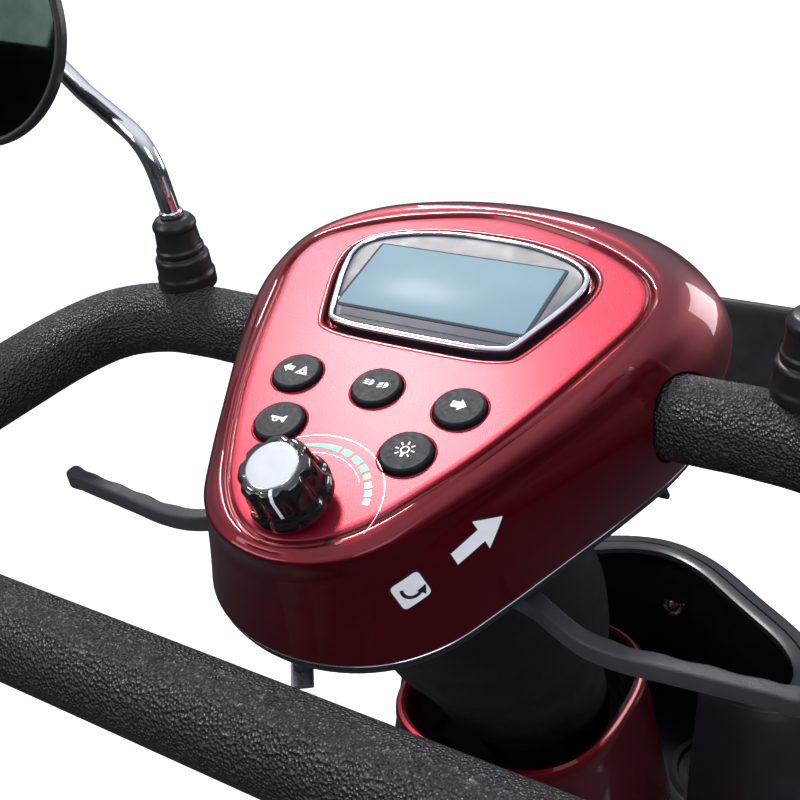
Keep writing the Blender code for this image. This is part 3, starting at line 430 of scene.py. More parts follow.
def finish(name, colour, roughness, metallic=0.0, vary=0.12, patch=25.0, spread=0.08,
           grain=(), coat=0.0, coat_rough=0.03, sheen=0.0, specular=0.5, accent=None, dust=0.0):
    """Procedural finish: patchy colour, uneven roughness and layers of grain.

    grain is a list of (kind, scale per metre, depth in metres). accent recolours the peaks of the last grain.
    dust lightens scattered soft patches, as handling and road dirt do.
    """
    material = bpy.data.materials.new(name)
    material.use_nodes = True
    tree = material.node_tree
    shader = tree.nodes["Principled BSDF"]
    coordinates = node_of(tree, "ShaderNodeTexCoord").outputs["Object"]
    base = noise(tree, coordinates, patch)
    dark = [c * (1 - vary) for c in colour]
    light = [min(1.0, c * (1 + vary) + vary * 0.01) for c in colour]
    tint = blend_colour(tree, remap(tree, base, 0.0, 1.0), dark, light)
    normal = None
    peaks = None
    for kind, scale, depth in grain:
        if kind == "noise":
            height = noise(tree, coordinates, scale, 3.0, 0.6)
        elif kind == "cells":
            height = cells(tree, coordinates, scale).outputs["Distance"]
        elif kind == "cracks":
            height = cells(tree, coordinates, scale, "DISTANCE_TO_EDGE").outputs["Distance"]
        else:
            wave = node_of(tree, "ShaderNodeTexWave", bands_direction=kind)
            wave.inputs["Scale"].default_value = scale
            wave.inputs["Distortion"].default_value = 0.4
            tree.links.new(coordinates, wave.inputs["Vector"])
            height = wave.outputs["Fac"]
        normal = bump(tree, height, depth, 1.0, normal)
        peaks = height
    if accent is not None and peaks is not None:
        tint = blend_colour(tree, remap(tree, peaks, 0.0, 1.0, accent[1], accent[2]), tint, accent[0])
    if dust:
        film = remap(tree, noise(tree, coordinates, 7.0, 6.0, 0.65), 0.0, dust, 0.5, 0.75)
        tint = blend_colour(tree, film, tint, (0.32, 0.29, 0.25))
    tree.links.new(tint, shader.inputs["Base Color"])
    rough = remap(tree, noise(tree, coordinates, patch * 3.1, 5.0), max(0.02, roughness - spread),
                  min(1.0, roughness + spread))
    tree.links.new(rough, shader.inputs["Roughness"])
    if normal is not None:
        tree.links.new(normal, shader.inputs["Normal"])
    shader.inputs["Metallic"].default_value = metallic
    shader.inputs["Specular IOR Level"].default_value = specular
    shader.inputs["Coat Weight"].default_value = coat
    shader.inputs["Coat Roughness"].default_value = coat_rough
    shader.inputs["Sheen Weight"].default_value = sheen
    return material


def clear_finish(name, colour, roughness=0.02, transmission=1.0, ior=1.46):
    material = finish(name, colour, roughness, vary=0.03, spread=0.01, grain=[("noise", 90.0, 0.00002)])
    shader = material.node_tree.nodes["Principled BSDF"]
    shader.inputs["Transmission Weight"].default_value = transmission
    shader.inputs["IOR"].default_value = ior
    return material


CANDY = finish("candy_paint", (0.175, 0.0009, 0.009), 0.33, metallic=0.85, vary=0.10, patch=6.0, spread=0.05,
               grain=[("noise", 55.0, 0.00004), ("cells", 2600.0, 0.00004)], coat=0.7, coat_rough=0.02)
# Satin speckled panel paint; its lighter, pinker red than the body paint is painted light on the up-facing panel.
PANEL_SATIN_AND_PAINTED_LIGHT = finish("panel_satin_and_painted_light", (0.33, 0.0045, 0.025), 0.45, metallic=0.72, vary=0.08, patch=10.0,
                     spread=0.05, grain=[("noise", 700.0, 0.00003), ("cells", 2200.0, 0.00007)], coat=0.25,
                     coat_rough=0.25)
GLOSS_BLACK = finish("gloss_black", (0.010, 0.010, 0.012), 0.10, vary=0.2, patch=18.0, spread=0.04,
                     grain=[("noise", 60.0, 0.00005)], coat=0.6, coat_rough=0.03)
KNOB_BLACK = finish("knob_black", (0.006, 0.006, 0.008), 0.07, vary=0.2, patch=90.0, spread=0.03,
                    grain=[("noise", 260.0, 0.00003)], coat=1.0, coat_rough=0.02)
SATIN_BLACK = finish("satin_black", (0.013, 0.014, 0.017), 0.40, vary=0.25, patch=30.0, spread=0.08,
                     grain=[("noise", 1500.0, 0.00007)], dust=0.04)
SLEEVE_BLACK = finish("sleeve_black", (0.006, 0.006, 0.007), 0.55, vary=0.2, patch=20.0, spread=0.08,
                      grain=[("noise", 1500.0, 0.00007)], specular=0.3)
COWL_BLACK = finish("cowl_black", (0.007, 0.009, 0.013), 0.36, vary=0.25, patch=14.0, spread=0.07,
                    grain=[("noise", 1300.0, 0.00006)], coat=0.15, coat_rough=0.2, dust=0.03)
KEY_BLACK = finish("key_black", (0.010, 0.011, 0.017), 0.50, vary=0.15, patch=160.0, spread=0.06,
                   grain=[("noise", 2600.0, 0.00004)], specular=0.18)
GRIP_SKIN = finish("grip_skin", (0.008, 0.008, 0.010), 0.42, vary=0.3, patch=60.0, spread=0.10,
                   grain=[("noise", 420.0, 0.0009), ("cells", 760.0, 0.0011)], specular=0.62,
                   accent=((0.050, 0.048, 0.056), 0.66, 1.0))
BOOT_RUBBER = finish("boot_rubber", (0.010, 0.010, 0.012), 0.38, vary=0.2, patch=80.0, spread=0.08,
                     grain=[("noise", 1400.0, 0.00006)])
LEVER_GREY = finish("lever_coat", (0.060, 0.056, 0.068), 0.42, metallic=0.35, vary=0.12, patch=60.0,
                    spread=0.06, grain=[("cells", 2400.0, 0.00010), ("noise", 3000.0, 0.00005)])
CHROME = finish("chrome", (0.80, 0.80, 0.82), 0.05, metallic=1.0, vary=0.03, patch=40.0, spread=0.02,
                grain=[("noise", 70.0, 0.00002)])
CAP_CHROME = finish("cap_chrome", (0.93, 0.93, 0.94), 0.16, metallic=0.85, vary=0.02, patch=200.0,
                    spread=0.04,
                    grain=[("noise", 900.0, 0.00002)])
ZINC = finish("zinc_steel", (0.50, 0.50, 0.50), 0.32, metallic=1.0, vary=0.12, patch=70.0, spread=0.1,
              grain=[("noise", 900.0, 0.00005)])
ALLOY = finish("cast_alloy", (0.56, 0.57, 0.59), 0.30, metallic=1.0, vary=0.08, patch=30.0, spread=0.08,
               grain=[("noise", 1100.0, 0.00006)], dust=0.10)
CASTING = finish("rough_casting", (0.30, 0.31, 0.32), 0.48, metallic=0.9, vary=0.15, patch=35.0, spread=0.1,
                 grain=[("noise", 700.0, 0.00020), ("cells", 900.0, 0.00012)], dust=0.18)
POWDER = finish("powder_coat", (0.014, 0.014, 0.015), 0.42, metallic=0.1, vary=0.2, patch=25.0, spread=0.08,
                grain=[("noise", 1500.0, 0.00010)], dust=0.08)
TYRE = finish("tyre_rubber", (0.018, 0.018, 0.019), 0.72, vary=0.25, patch=30.0, spread=0.1,
              grain=[("noise", 500.0, 0.00020), ("cells", 1200.0, 0.00010)], dust=0.22)
MAT_RUBBER = finish("mat_rubber", (0.022, 0.022, 0.023), 0.68, vary=0.2, patch=20.0, spread=0.08,
                    grain=[("cells", 900.0, 0.00018)], dust=0.16)
VINYL = finish("vinyl", (0.016, 0.016, 0.018), 0.46, vary=0.18, patch=16.0, spread=0.07,
               grain=[("noise", 60.0, 0.0005), ("cracks", 620.0, 0.00035)], sheen=0.05)
THREAD = finish("thread", (0.06, 0.06, 0.062), 0.75, vary=0.2, patch=300.0, spread=0.05,
                grain=[("DIAGONAL", 900.0, 0.0002)])
PRINT_WHITE = finish("print_white", (0.84, 0.84, 0.88), 0.35, vary=0.03, patch=200.0, spread=0.05,
                     grain=[("noise", 1500.0, 0.00002)])
PRINT_BLACK = finish("print_black", (0.012, 0.012, 0.016), 0.32, vary=0.15, patch=200.0, spread=0.05,
                     grain=[("noise", 1500.0, 0.00002)])
PRINT_GREEN = finish("print_green", (0.030, 0.52, 0.30), 0.38, vary=0.06, patch=200.0, spread=0.05,
                     grain=[("noise", 1500.0, 0.00002)])
PRINT_YELLOW = finish("print_yellow", (0.75, 0.55, 0.22), 0.38, vary=0.06, patch=200.0, spread=0.05,
                      grain=[("noise", 1500.0, 0.00002)])
PRINT_ROSE = finish("print_rose", (0.36, 0.016, 0.036), 0.30, metallic=0.2, vary=0.06, patch=120.0,
                    spread=0.05,
                    grain=[("noise", 1500.0, 0.00002)], coat=0.6)
BATTERY_CASE = finish("battery_case", (0.030, 0.031, 0.036), 0.55, vary=0.2, patch=25.0, spread=0.08,
                      grain=[("cells", 1200.0, 0.00012)], dust=0.1)
SCREEN = finish("display_screen", (0.215, 0.325, 0.385), 0.50, vary=0.07, patch=14.0, spread=0.05,
                grain=[("noise", 200.0, 0.00001)], coat=0.06, coat_rough=0.20, specular=0.12)
SCREEN_FRAME = finish("display_frame", (0.022, 0.023, 0.048), 0.40, vary=0.2, patch=30.0, spread=0.05,
                      grain=[("noise", 200.0, 0.00001)], coat=0.08, coat_rough=0.20, specular=0.25)
# Bright silver edge colour: a painted highlight, for the glint on the display window's polished edge and on the
# console seam.
LENS_EDGE_PAINTED_HIGHLIGHT = finish("lens_edge_painted_highlight", (0.72, 0.74, 0.82), 0.10, metallic=0.85, vary=0.12, patch=60.0, spread=0.05,
                   grain=[("noise", 300.0, 0.00003)], coat=1.0)
LENS_SIDE = finish("lens_side", (0.020, 0.016, 0.026), 0.08, vary=0.2, patch=60.0, spread=0.03,
                   grain=[("noise", 300.0, 0.00003)], coat=1.0)
LAMP_CLEAR = clear_finish("lamp_clear", (0.95, 0.97, 0.98))
LAMP_RED = finish("lamp_red", (0.42, 0.006, 0.008), 0.12, vary=0.1, patch=40.0, spread=0.04,
                  grain=[("X", 110.0, 0.0005)], coat=1.0)
AMBER = finish("lamp_amber", (0.75, 0.20, 0.015), 0.12, vary=0.1, patch=40.0, spread=0.04,
               grain=[("X", 110.0, 0.0005)], coat=1.0)
REFLECTOR = finish("lamp_bowl", (0.85, 0.86, 0.88), 0.12, metallic=1.0, vary=0.03, patch=60.0, spread=0.03,
                   grain=[("cells", 160.0, 0.0006)])
# Near-black, strongly mottled green glass colour: a painted dark reflection of the surroundings.
MIRROR_PAINTED_REFLECTION = finish("mirror_glass", (0.022, 0.034, 0.031), 0.03, metallic=1.0, vary=0.5, patch=24.0,
                      spread=0.015, grain=[("noise", 12.0, 0.00002)])

# ---------------------------------------------------------------- console shells

CREST = mirrored([
    (0.0, -0.101), (0.022, -0.0965), (0.038, -0.084), (0.050, -0.062), (0.0645, -0.030),
    (0.076, -0.004), (0.0875, 0.026), (0.0925, 0.0545), (0.088, 0.082), (0.066, 0.1035),
    (0.035, 0.114), (0.0, 0.1175),
])
GROOVE = mirrored([
    (0.0, -0.0935), (0.017, -0.0885), (0.031, -0.076), (0.042, -0.059), (0.0555, -0.0334),
    (0.068, -0.003), (0.079, 0.030), (0.086, 0.056), (0.0805, 0.076), (0.0565, 0.0925),
    (0.027, 0.1025), (0.0, 0.1065),
])
FINE_CREST = np.array(smooth(CREST, 7, cyclic=True))
FINE_GROOVE = np.array(smooth(GROOVE, 7, cyclic=True))


def shell_ring(outline, offset, drop):
    """Outline ring a little below the panel plane."""
    return [console_point(x, y, panel_z(y) - drop) for x, y in offset_outline(outline, offset)]


# The cover's side on its way down to the seam: outward reach at the near end, the sides and the far end,
# how far the section has moved forward, its sag below the panel and its share of the way down.
STATIONS_Y = (-0.10, -0.045, 0.03, 0.1175)
SIDE_REACHES = [
    (-0.0035, -0.0035, -0.0035, 0.0, 0.0006, 0.0), (-0.0008, 0.0012, 0.0026, 0.0008, 0.0016, 0.01),
    (0.0018, 0.0056, 0.0096, 0.0040, 0.0030, 0.05), (0.0042, 0.0092, 0.0152, 0.0077, 0.0040, 0.12),
    (0.0072, 0.0140, 0.0195, 0.0115, 0.0026, 0.24),
    (0.0098, 0.0180, 0.0222, 0.0142, 0.0005, 0.38), (0.0120, 0.0200, 0.0240, 0.0163, 0.0, 0.52),
    (0.0148, 0.0200, 0.0228, 0.0183, 0.0, 0.68), (0.0180, 0.0186, 0.0195, 0.0203, 0.0, 0.84),
    (0.0210, 0.0168, 0.0152, 0.0220, 0.0, 0.985),
]


def seam_z(y):
    return SEAM_Z + SEAM_SLOPE * y


def side_ring(reach, inset=0.0, below=0.0):
    """Ring of the cover's side; inset moves it inwards and below lowers it."""
    near, side, far, forward, drop, share = reach
    offsets = np.interp(FINE_CREST[:, 1], STATIONS_Y, (near, (near + side) / 2, side, far)) - inset
    ring = []
    for (px, py), (_, y) in zip(FINE_CREST + outline_normals(FINE_CREST) * offsets[:, None], FINE_CREST):
        z = (panel_z(y) - drop) * (1 - share) + seam_z(y) * share - below
        ring.append(console_point(px, py + forward, z))
    return ring


def groove_rings():
    """Narrow moulded channel that frames the control panel: (offset from its middle, depth)."""
    section = [(-0.0042, 0.0), (-0.0022, 0.0), (-0.0016, 0.0001), (-0.0012, 0.0005), (-0.0009, 0.0013),
               (-0.0005, 0.0019), (0.0, 0.0021), (0.0005, 0.0019), (0.0010, 0.0012), (0.0014, 0.0004),
               (0.0019, 0.0), (0.0026, -0.0002)]
    return [shell_ring(FINE_GROOVE, offset, drop) for offset, drop in section]


def shoulder_rings():
    """From the groove's outer lip over the rounded shoulder and down to the seam."""
    lip = offset_outline(FINE_GROOVE, 0.0026)
    brow = offset_outline(FINE_CREST, -0.0035)
    rings = []
    for k in range(1, 4):
        t = k / 4
        drop = -0.0002 * (1 - t) + 0.0006 * t
        ring = [console_point(x, y, panel_z(y) - drop) for x, y in lip * (1 - t) + brow * t]
        rings.append(ring)
    rings += [side_ring(reach) for reach in smooth(SIDE_REACHES, 4)]
    last = SIDE_REACHES[-1]
    rings += [side_ring(last, 0.0004, 0.0008), side_ring(last, 0.0014, 0.0008),
              side_ring(last, 0.0020, -0.0010)]
    return rings


LCD_OUTLINE = mirrored([
    (0.0, 0.0165), (0.015, 0.0166), (0.030, 0.0170), (0.0410, 0.0190), (0.0450, 0.0225), (0.0510, 0.0370),
    (0.0560, 0.0510), (0.0588, 0.0645), (0.0565, 0.0735), (0.0490, 0.0800), (0.0365, 0.0850),
    (0.0200, 0.0885), (0.0, 0.0895),
])
FINE_LCD = np.array(smooth(LCD_OUTLINE, 6, cyclic=True))
MOAT_REACH = 0.0046

BUTTONS = {
    "left_turn": (-0.0381, -0.0142), "headlight": (0.0, -0.0129), "right_turn": (0.0381, -0.0142),
    "horn": (-0.0291, -0.0414), "light": (0.0291, -0.0414),
}
BUTTON_R = 0.0105
KNOB_XY = (0.0, -0.0739)


def panel_tube(x, y, radius, low, high, segments=48):
    return lathe([(0.0, low), (radius, low), (radius, high), (0.0, high)],
                 axis_frame(panel_point(x, y), PANEL_UP), segments)


def make_top_shell():
    """Painted cover with the panel plane left flat, then cut for keys, knob and display."""
    rings = groove_rings()
    panel_edge = rings[0]
    bm = loft(rings + shoulder_rings(), caps=(False, False))
    inner_wall = [
        side_ring(SIDE_REACHES[-1], 0.0020, -0.0010), side_ring(SIDE_REACHES[7], 0.0040),
        side_ring(SIDE_REACHES[4], 0.0060), shell_ring(FINE_CREST, -0.0040, 0.0060),
        shell_ring(FINE_GROOVE, -0.0042, 0.0045),
    ]
    inner = loft(inner_wall, caps=(False, True))
    panel = bmesh.new()
    panel.faces.new([panel.verts.new(p) for p in panel_edge])
    shell = to_object("console_cover", merged([bm, inner, panel]), CANDY)
    holes = [panel_tube(x, y, BUTTON_R + 0.0006, -0.012, 0.010) for x, y in BUTTONS.values()]
    holes.append(panel_tube(KNOB_XY[0], KNOB_XY[1], 0.0066, -0.012, 0.010))
    opening = offset_outline(FINE_LCD, MOAT_REACH)
    holes.append(loft([[panel_point(x, y, h) for x, y in opening] for h in (-0.012, 0.010)]))
    boolean(shell, merged(holes))
    bar = console_point(0.0, 0.0434, -0.0277)
    boolean(shell, cylinder(bar - X_AXIS * 0.16, bar + X_AXIS * 0.16, 0.0192, 0.001, 48))
    # Faces of the flat panel inside the groove take the lighter panel paint: painted light on the face turned up
    # to the light, over its satin finish.
    shell.data.materials.append(PANEL_SATIN_AND_PAINTED_LIGHT)
    inner_edge = BVHTree.FromPolygons([panel_point(x, y) for x, y in offset_outline(FINE_GROOVE, -0.0030)],
                                      [list(range(len(FINE_GROOVE)))])
    for face in shell.data.polygons:
        if face.normal.dot(PANEL_UP) > 0.9999:
            hit = inner_edge.find_nearest(face.center)
            if hit[3] is not None and hit[3] < 0.0001:
                face.material_index = 1
    sharpen(shell, 32.0)
    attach(shell, "tiller")
    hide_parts("console_top_shell")
    return shell


COVER = make_top_shell()


def make_openings_trim():
    """Rounded paint lips of the display recess and of each key hole."""
    section = [(MOAT_REACH + 0.0008, -0.0004), (MOAT_REACH + 0.0006, 0.00008), (MOAT_REACH - 0.0002, 0.00030),
               (MOAT_REACH - 0.0012, 0.00015), (MOAT_REACH - 0.0021, -0.00060),
               (MOAT_REACH - 0.0027, -0.0018),
               (MOAT_REACH - 0.0031, -0.0036), (0.0006, -0.0042), (-0.0002, -0.0044)]
    rings = []
    for offset, height in section:
        rings.append([panel_point(x, y, height) for x, y in offset_outline(FINE_LCD, offset)])
    piece("display_recess", loft(rings, caps=(False, False)), CANDY, "tiller")
    for name, (x, y) in BUTTONS.items():
        lip = [(BUTTON_R + 0.0016, -0.0002), (BUTTON_R + 0.0014, 0.00006), (BUTTON_R + 0.0010, 0.00022),
               (BUTTON_R + 0.0006, 0.00010), (BUTTON_R + 0.00045, -0.0005), (BUTTON_R + 0.00045, -0.0030)]
        bm = lathe(lip, axis_frame(panel_point(x, y), PANEL_UP), 64)
        bmesh.ops.delete(bm, geom=[f for f in bm.faces if len(f.verts) > 4], context="FACES_ONLY")
        # The key lips take the same lighter panel paint, partly painted light.
        piece("key_lip_" + name, bm, PANEL_SATIN_AND_PAINTED_LIGHT, "tiller")


make_openings_trim()


def make_display():
    """Sunken screen under a thick clear window, drawn with dark sides and a bright rim; the rim's colour is a
    painted highlight on the window's polished edge.
    """
    def ring(offset, height):
        return [panel_point(x, y, height) for x, y in offset_outline(FINE_LCD, offset)]

    side = [(-0.0002, -0.0044), (-0.0002, 0.0010), (-0.0003, 0.0018)]
    piece("display_side", loft([ring(*s) for s in side], caps=(True, False)), LENS_SIDE, "tiller",
          ("lcd_lens",))
    # The rim's bright colour is a painted highlight of the window's edge.
    rim = [(-0.0003, 0.0016), (-0.0004, 0.0023), (-0.0009, 0.0028), (-0.0016, 0.0030), (-0.0023, 0.0028),
           (-0.0027, 0.0022)]
    piece("display_rim", loft([ring(*s) for s in rim], caps=(False, False)), LENS_EDGE_PAINTED_HIGHLIGHT, "tiller")

    screen = [(0.0450, 0.0305), (0.0455, 0.0735), (-0.0455, 0.0735), (-0.0450, 0.0305)]
    window = rounded_outline(screen, 0.0015, 3)
    outer = offset_outline(FINE_LCD, -0.0027)
    bed = [[panel_point(x, y, h) for x, y in outline] for outline, h in
           ((outer, 0.0023), (offset_outline(FINE_LCD, -0.0034), 0.0016),
            (offset_outline(FINE_LCD, -0.0050), 0.0013))]
    piece("display_frame", loft(bed, caps=(False, True)), SCREEN_FRAME, "tiller",
          ("lcd_module",),
          angle=25.0)
    step = [(x * 1.035, (y - 0.052) * 1.06 + 0.052) for x, y in screen]
    piece("display_step", slab(rounded_outline(step, 0.0020, 3), 0.0010, 0.0017, panel_point, 0.0004),
          LENS_SIDE,
          "tiller")
    piece("display_screen", slab(window, 0.0010, 0.0021, panel_point, 0.0003), SCREEN, "tiller")


make_display()


def make_lower_shell():
    """Black under-cover and neck, with slots for the finger levers and a painted highlight along the seam."""
    def under_ring(inset, below):
        return side_ring(SIDE_REACHES[-1][:4] + (0.0, 1.0), inset, below)

    def neck_ring(scale, z):
        count = len(FINE_CREST)
        ring = []
        for i in range(count):
            a = 2 * math.pi * i / count - math.pi / 2
            ring.append(console_point(math.cos(a) * 0.071 * scale, math.sin(a) * 0.068 * scale + 0.026, z))
        return ring

    rings = [under_ring(0.0018, 0.0002), under_ring(0.0008, 0.0006), under_ring(0.0010, 0.0030),
             under_ring(0.0022, 0.0058), under_ring(0.0060, 0.0080), under_ring(0.0125, 0.0090),
             neck_ring(1.07, -0.0705), neck_ring(1.02, -0.0715), neck_ring(1.00, -0.0740),
             neck_ring(1.00, -0.0915),
             neck_ring(0.99, -0.0921), neck_ring(0.96, -0.0921), neck_ring(0.955, -0.0700)]
    shell = to_object("console_under_cover", loft(rings, caps=(False, False)), SATIN_BLACK)
    slots = [beam_box((side * 0.0510, -0.0270, -0.0800), (0.0580, 0.0500, 0.0150), 0.003, 2, console_matrix())
             for side in (-1, 1)]
    boolean(shell, merged(slots))
    sharpen(shell, 30.0)
    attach(shell, "tiller")
    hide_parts("console_bottom_shell")
    # Bright silver bead along the seam: its colour is a painted highlight on the seam's edge.
    bead = [under_ring(0.0012, 0.0001), under_ring(0.0005, 0.0002), under_ring(0.0003, 0.0004),
            under_ring(0.0005, 0.0006), under_ring(0.0012, 0.0007)]
    piece("seam_painted_highlight", loft(bead, caps=(False, False)), LENS_EDGE_PAINTED_HIGHLIGHT, "tiller")


make_lower_shell()

# ---------------------------------------------------------------- keys and their symbols


def flat_mark(outlines, place, low, high):
    return merged([slab(points, low, high, place) for points in outlines])


def turned(points, degrees, centre=(0.0, 0.0), size=1.0):
    c, s = math.cos(math.radians(degrees)), math.sin(math.radians(degrees))
    return [(centre[0] + (x * c - y * s) * size, centre[1] + (x * s + y * c) * size) for x, y in points]


def stroke(a, b, width):
    """Rectangle along a line."""
    a, b = np.array(a, float), np.array(b, float)
    along = (b - a) / np.linalg.norm(b - a)
    across = np.array([-along[1], along[0]]) * width / 2
    return [tuple(a - across), tuple(b - across), tuple(b + across), tuple(a + across)]


def band(centre, inner, outer, start, end, steps=12):
    return arc(centre, outer, start, end, steps) + list(reversed(arc(centre, inner, start, end, steps)))


BLOCK_ARROW = [(1.0, 0.0), (0.05, 0.95), (0.05, 0.48), (-1.0, 0.48), (-1.0, -0.48), (0.05, -0.48),
               (0.05, -0.95)]


def triangle_ring(centre, outer, inner):
    corners = [(math.cos(math.radians(a)), math.sin(math.radians(a))) for a in (90, 210, 330)]
    out = []
    for i in range(3):
        (ax, ay), (bx, by) = corners[i], corners[(i + 1) % 3]
        out.append([(centre[0] + ax * outer, centre[1] + ay * outer),
                    (centre[0] + bx * outer, centre[1] + by * outer),
                    (centre[0] + bx * inner, centre[1] + by * inner),
                    (centre[0] + ax * inner, centre[1] + ay * inner)])
    return out


def lamp_symbol(centre, fan):
    """Half-round headlamp with three rays."""
    cx, cy = centre
    marks = [arc((cx - 0.0002, cy), 0.00165, -90, 90, 10)]
    for k in (-1, 0, 1):
        y = cy + k * 0.00105
        marks.append(stroke((cx - 0.0030, y - fan), (cx - 0.0008, y), 0.00042))
    return marks


def key_symbols(name):
    if name == "left_turn":
        return [turned(BLOCK_ARROW, 180.0, (-0.0036, 0.0002), 0.0026)] + \
            triangle_ring((0.0036, -0.0004), 0.0034, 0.0027) + triangle_ring((0.0036, -0.0004), 0.0018,
                                                                             0.0011)
    if name == "headlight":
        return lamp_symbol((-0.0026, 0.0004), 0.0) + lamp_symbol((0.0040, 0.0004), 0.0007)
    if name == "right_turn":
        return [turned(BLOCK_ARROW, 0.0, (0.0, 0.0), 0.0032)]
    if name == "horn":
        bell = [(-0.0034, 0.0009), (-0.0034, -0.0003), (0.0012, -0.0003), (0.0024, -0.0013),
                (0.0032, -0.0015),
                (0.0032, 0.0023), (0.0026, 0.0021), (0.0018, 0.0010)]
        return [bell, band((-0.0010, -0.0004), 0.0009, 0.0015, 180, 360)]
    rays = []
    for k in range(7):
        a = math.radians(-45 + 45 * k)
        rays.append(stroke((math.cos(a) * 0.0026, math.sin(a) * 0.0026),
                           (math.cos(a) * 0.0041, math.sin(a) * 0.0041),
                           0.0006))
    neck = [(-0.0006, -0.0036), (0.0006, -0.0036), (0.0006, -0.0017), (-0.0006, -0.0017)]
    half_a, half_b = band((0, 0), 0.00135, 0.0019, 0, 180), band((0, 0), 0.00135, 0.0019, 180, 360)
    return rays + [neck, half_a, half_b]


def make_keys():
    for name, (x, y) in BUTTONS.items():
        outline = [(0.0, -0.0078), (BUTTON_R, -0.0078), (BUTTON_R, 0.0020), (BUTTON_R - 0.0009, 0.0027),
                   (BUTTON_R - 0.0016, 0.00265), (0.0, 0.0029)]
        bm = lathe(arc_profile(outline, 0.0006, 3), axis_frame(panel_point(x, y), PANEL_UP), 72)
        piece("key_" + name, bm, KEY_BLACK, "key_" + name, ("button_" + name,))

        def place(px, py, h, x=x, y=y):
            return panel_point(x + px, y + py, h)

        marks = flat_mark(key_symbols(name), place, 0.0022, 0.00298)
        piece("key_symbol_" + name, marks, PRINT_WHITE, "key_" + name)


make_keys()

# ---------------------------------------------------------------- speed knob and dial


def knob_frame():
    tilt = PANEL_TILT + KNOB_LEAN
    return axis_frame(panel_point(*KNOB_XY), Vector((0.0, -math.sin(tilt), math.cos(tilt))))


def make_knob():
    """Fluted knob: eight hollows round its skirt, a bright cap and a pointer line."""
    place = knob_frame()

    def ripple(a, r, h):
        if h < 0.0046 or r < 0.0080:
            return r
        hollow = max(0.0, math.cos(8 * a))
        depth = 0.0015 * hollow ** 1.5
        share = min(1.0, (h - 0.0044) / 0.002)
        top = 1.0 if h < 0.0225 else max(0.0, (0.0250 - h) / 0.0025)
        return r - depth * share * (0.35 + 0.65 * top)

    outline = [(0.0, -0.0105), (0.0058, -0.0105), (0.0058, 0.0040), (0.0158, 0.0041), (0.0168, 0.0048),
               (0.0168, 0.0078), (0.0156, 0.0094), (0.0148, 0.0120), (0.0143, 0.0180), (0.0139, 0.0222),
               (0.0128, 0.0238), (0.0112, 0.0241), (0.0104, 0.0236), (0.0, 0.0235)]
    bm = lathe(arc_profile(outline, 0.0010, 4), place, 128, ripple=ripple)
    piece("knob_body", bm, KNOB_BLACK, "speed_dial", ("speed_knob",), angle=40.0)
    cap = [(0.0, 0.0228), (0.0103, 0.0228), (0.0103, 0.0240), (0.0096, 0.0248), (0.0060, 0.0249),
           (0.0, 0.0249)]
    piece("knob_cap", lathe(arc_profile(cap, 0.0005, 3), place, 96), CAP_CHROME, "speed_dial")
    rays = []
    start = math.radians(-62.0)
    direction = Vector((math.cos(start), math.sin(start), 0.0))
    across = Vector((-direction.y, direction.x, 0.0))
    for r0, r1, h0, h1 in ((0.0104, 0.0126, 0.0243, 0.0242), (0.0126, 0.0143, 0.0242, 0.0220),
                           (0.0143, 0.0150, 0.0220, 0.0130)):
        ring = [[place @ (direction * r + across * w + Vector((0, 0, h + lift)))
                 for w, lift in ((-0.0006, -0.0006), (0.0006, -0.0006), (0.0006, 0.0002), (-0.0006, 0.0002))]
                for r, h in ((r0, h0), (r1, h1))]
        rays.append(loft(ring))
    piece("knob_pointer", merged(rays), PRINT_WHITE, "speed_dial")


make_knob()


def dial_band(start, end, inner_start, inner_end, outer, steps=14):
    """Band of the speed scale; degrees clockwise from straight ahead, its inner edge tapering."""
    near, far = [], []
    for k in range(steps + 1):
        t = k / steps
        a = math.radians(90.0 - (start + (end - start) * t))
        inner = inner_start + (inner_end - inner_start) * t
        far.append((KNOB_XY[0] + math.cos(a) * outer, KNOB_XY[1] + math.sin(a) * outer))
        near.append((KNOB_XY[0] + math.cos(a) * inner, KNOB_XY[1] + math.sin(a) * inner))
    return far + near[::-1]


def make_dial():
    """Printed speed scale round the knob."""
    green = [dial_band(-44, 6, 0.0283, 0.0256, 0.0287)]
    green += [dial_band(a, a + w, 0.0256, 0.0256, 0.0287, 5) for a, w in ((8.5, 9.5), (21, 10.5), (34, 8))]
    body, low, high = "tiller", 0.00002, 0.00012
    piece("dial_green", flat_mark(green, panel_point, low, high), PRINT_GREEN, body)
    yellow = [dial_band(44.5, 50.5, 0.0256, 0.0256, 0.0285, 4)]
    piece("dial_yellow", flat_mark(yellow, panel_point, low, high), PRINT_YELLOW, body)
    rose = [dial_band(a, a + 6, 0.0256, 0.0256, 0.0283, 4) for a in (54, 62.5, 71)]
    rose.append(dial_band(-70, 100, 0.0328, 0.0328, 0.0332, 50))
    rose.append(dial_band(-40, 52, 0.0238, 0.0238, 0.0240, 30))
    piece("dial_outline", flat_mark(rose, panel_point, low, high), PRINT_ROSE, body)
    runner = [(0.0, 0.0), (0.0016, 0.0014), (0.0036, 0.0010), (0.0052, 0.0022), (0.0058, 0.0044),
              (0.0048, 0.0046),
              (0.0034, 0.0026), (0.0012, 0.0028), (-0.0010, 0.0008)]
    spot = [[(0.0215 + x, -0.0885 + y) for x, y in runner]]
    piece("dial_hare", flat_mark(spot, panel_point, low, high), PRINT_BLACK, body)


make_dial()


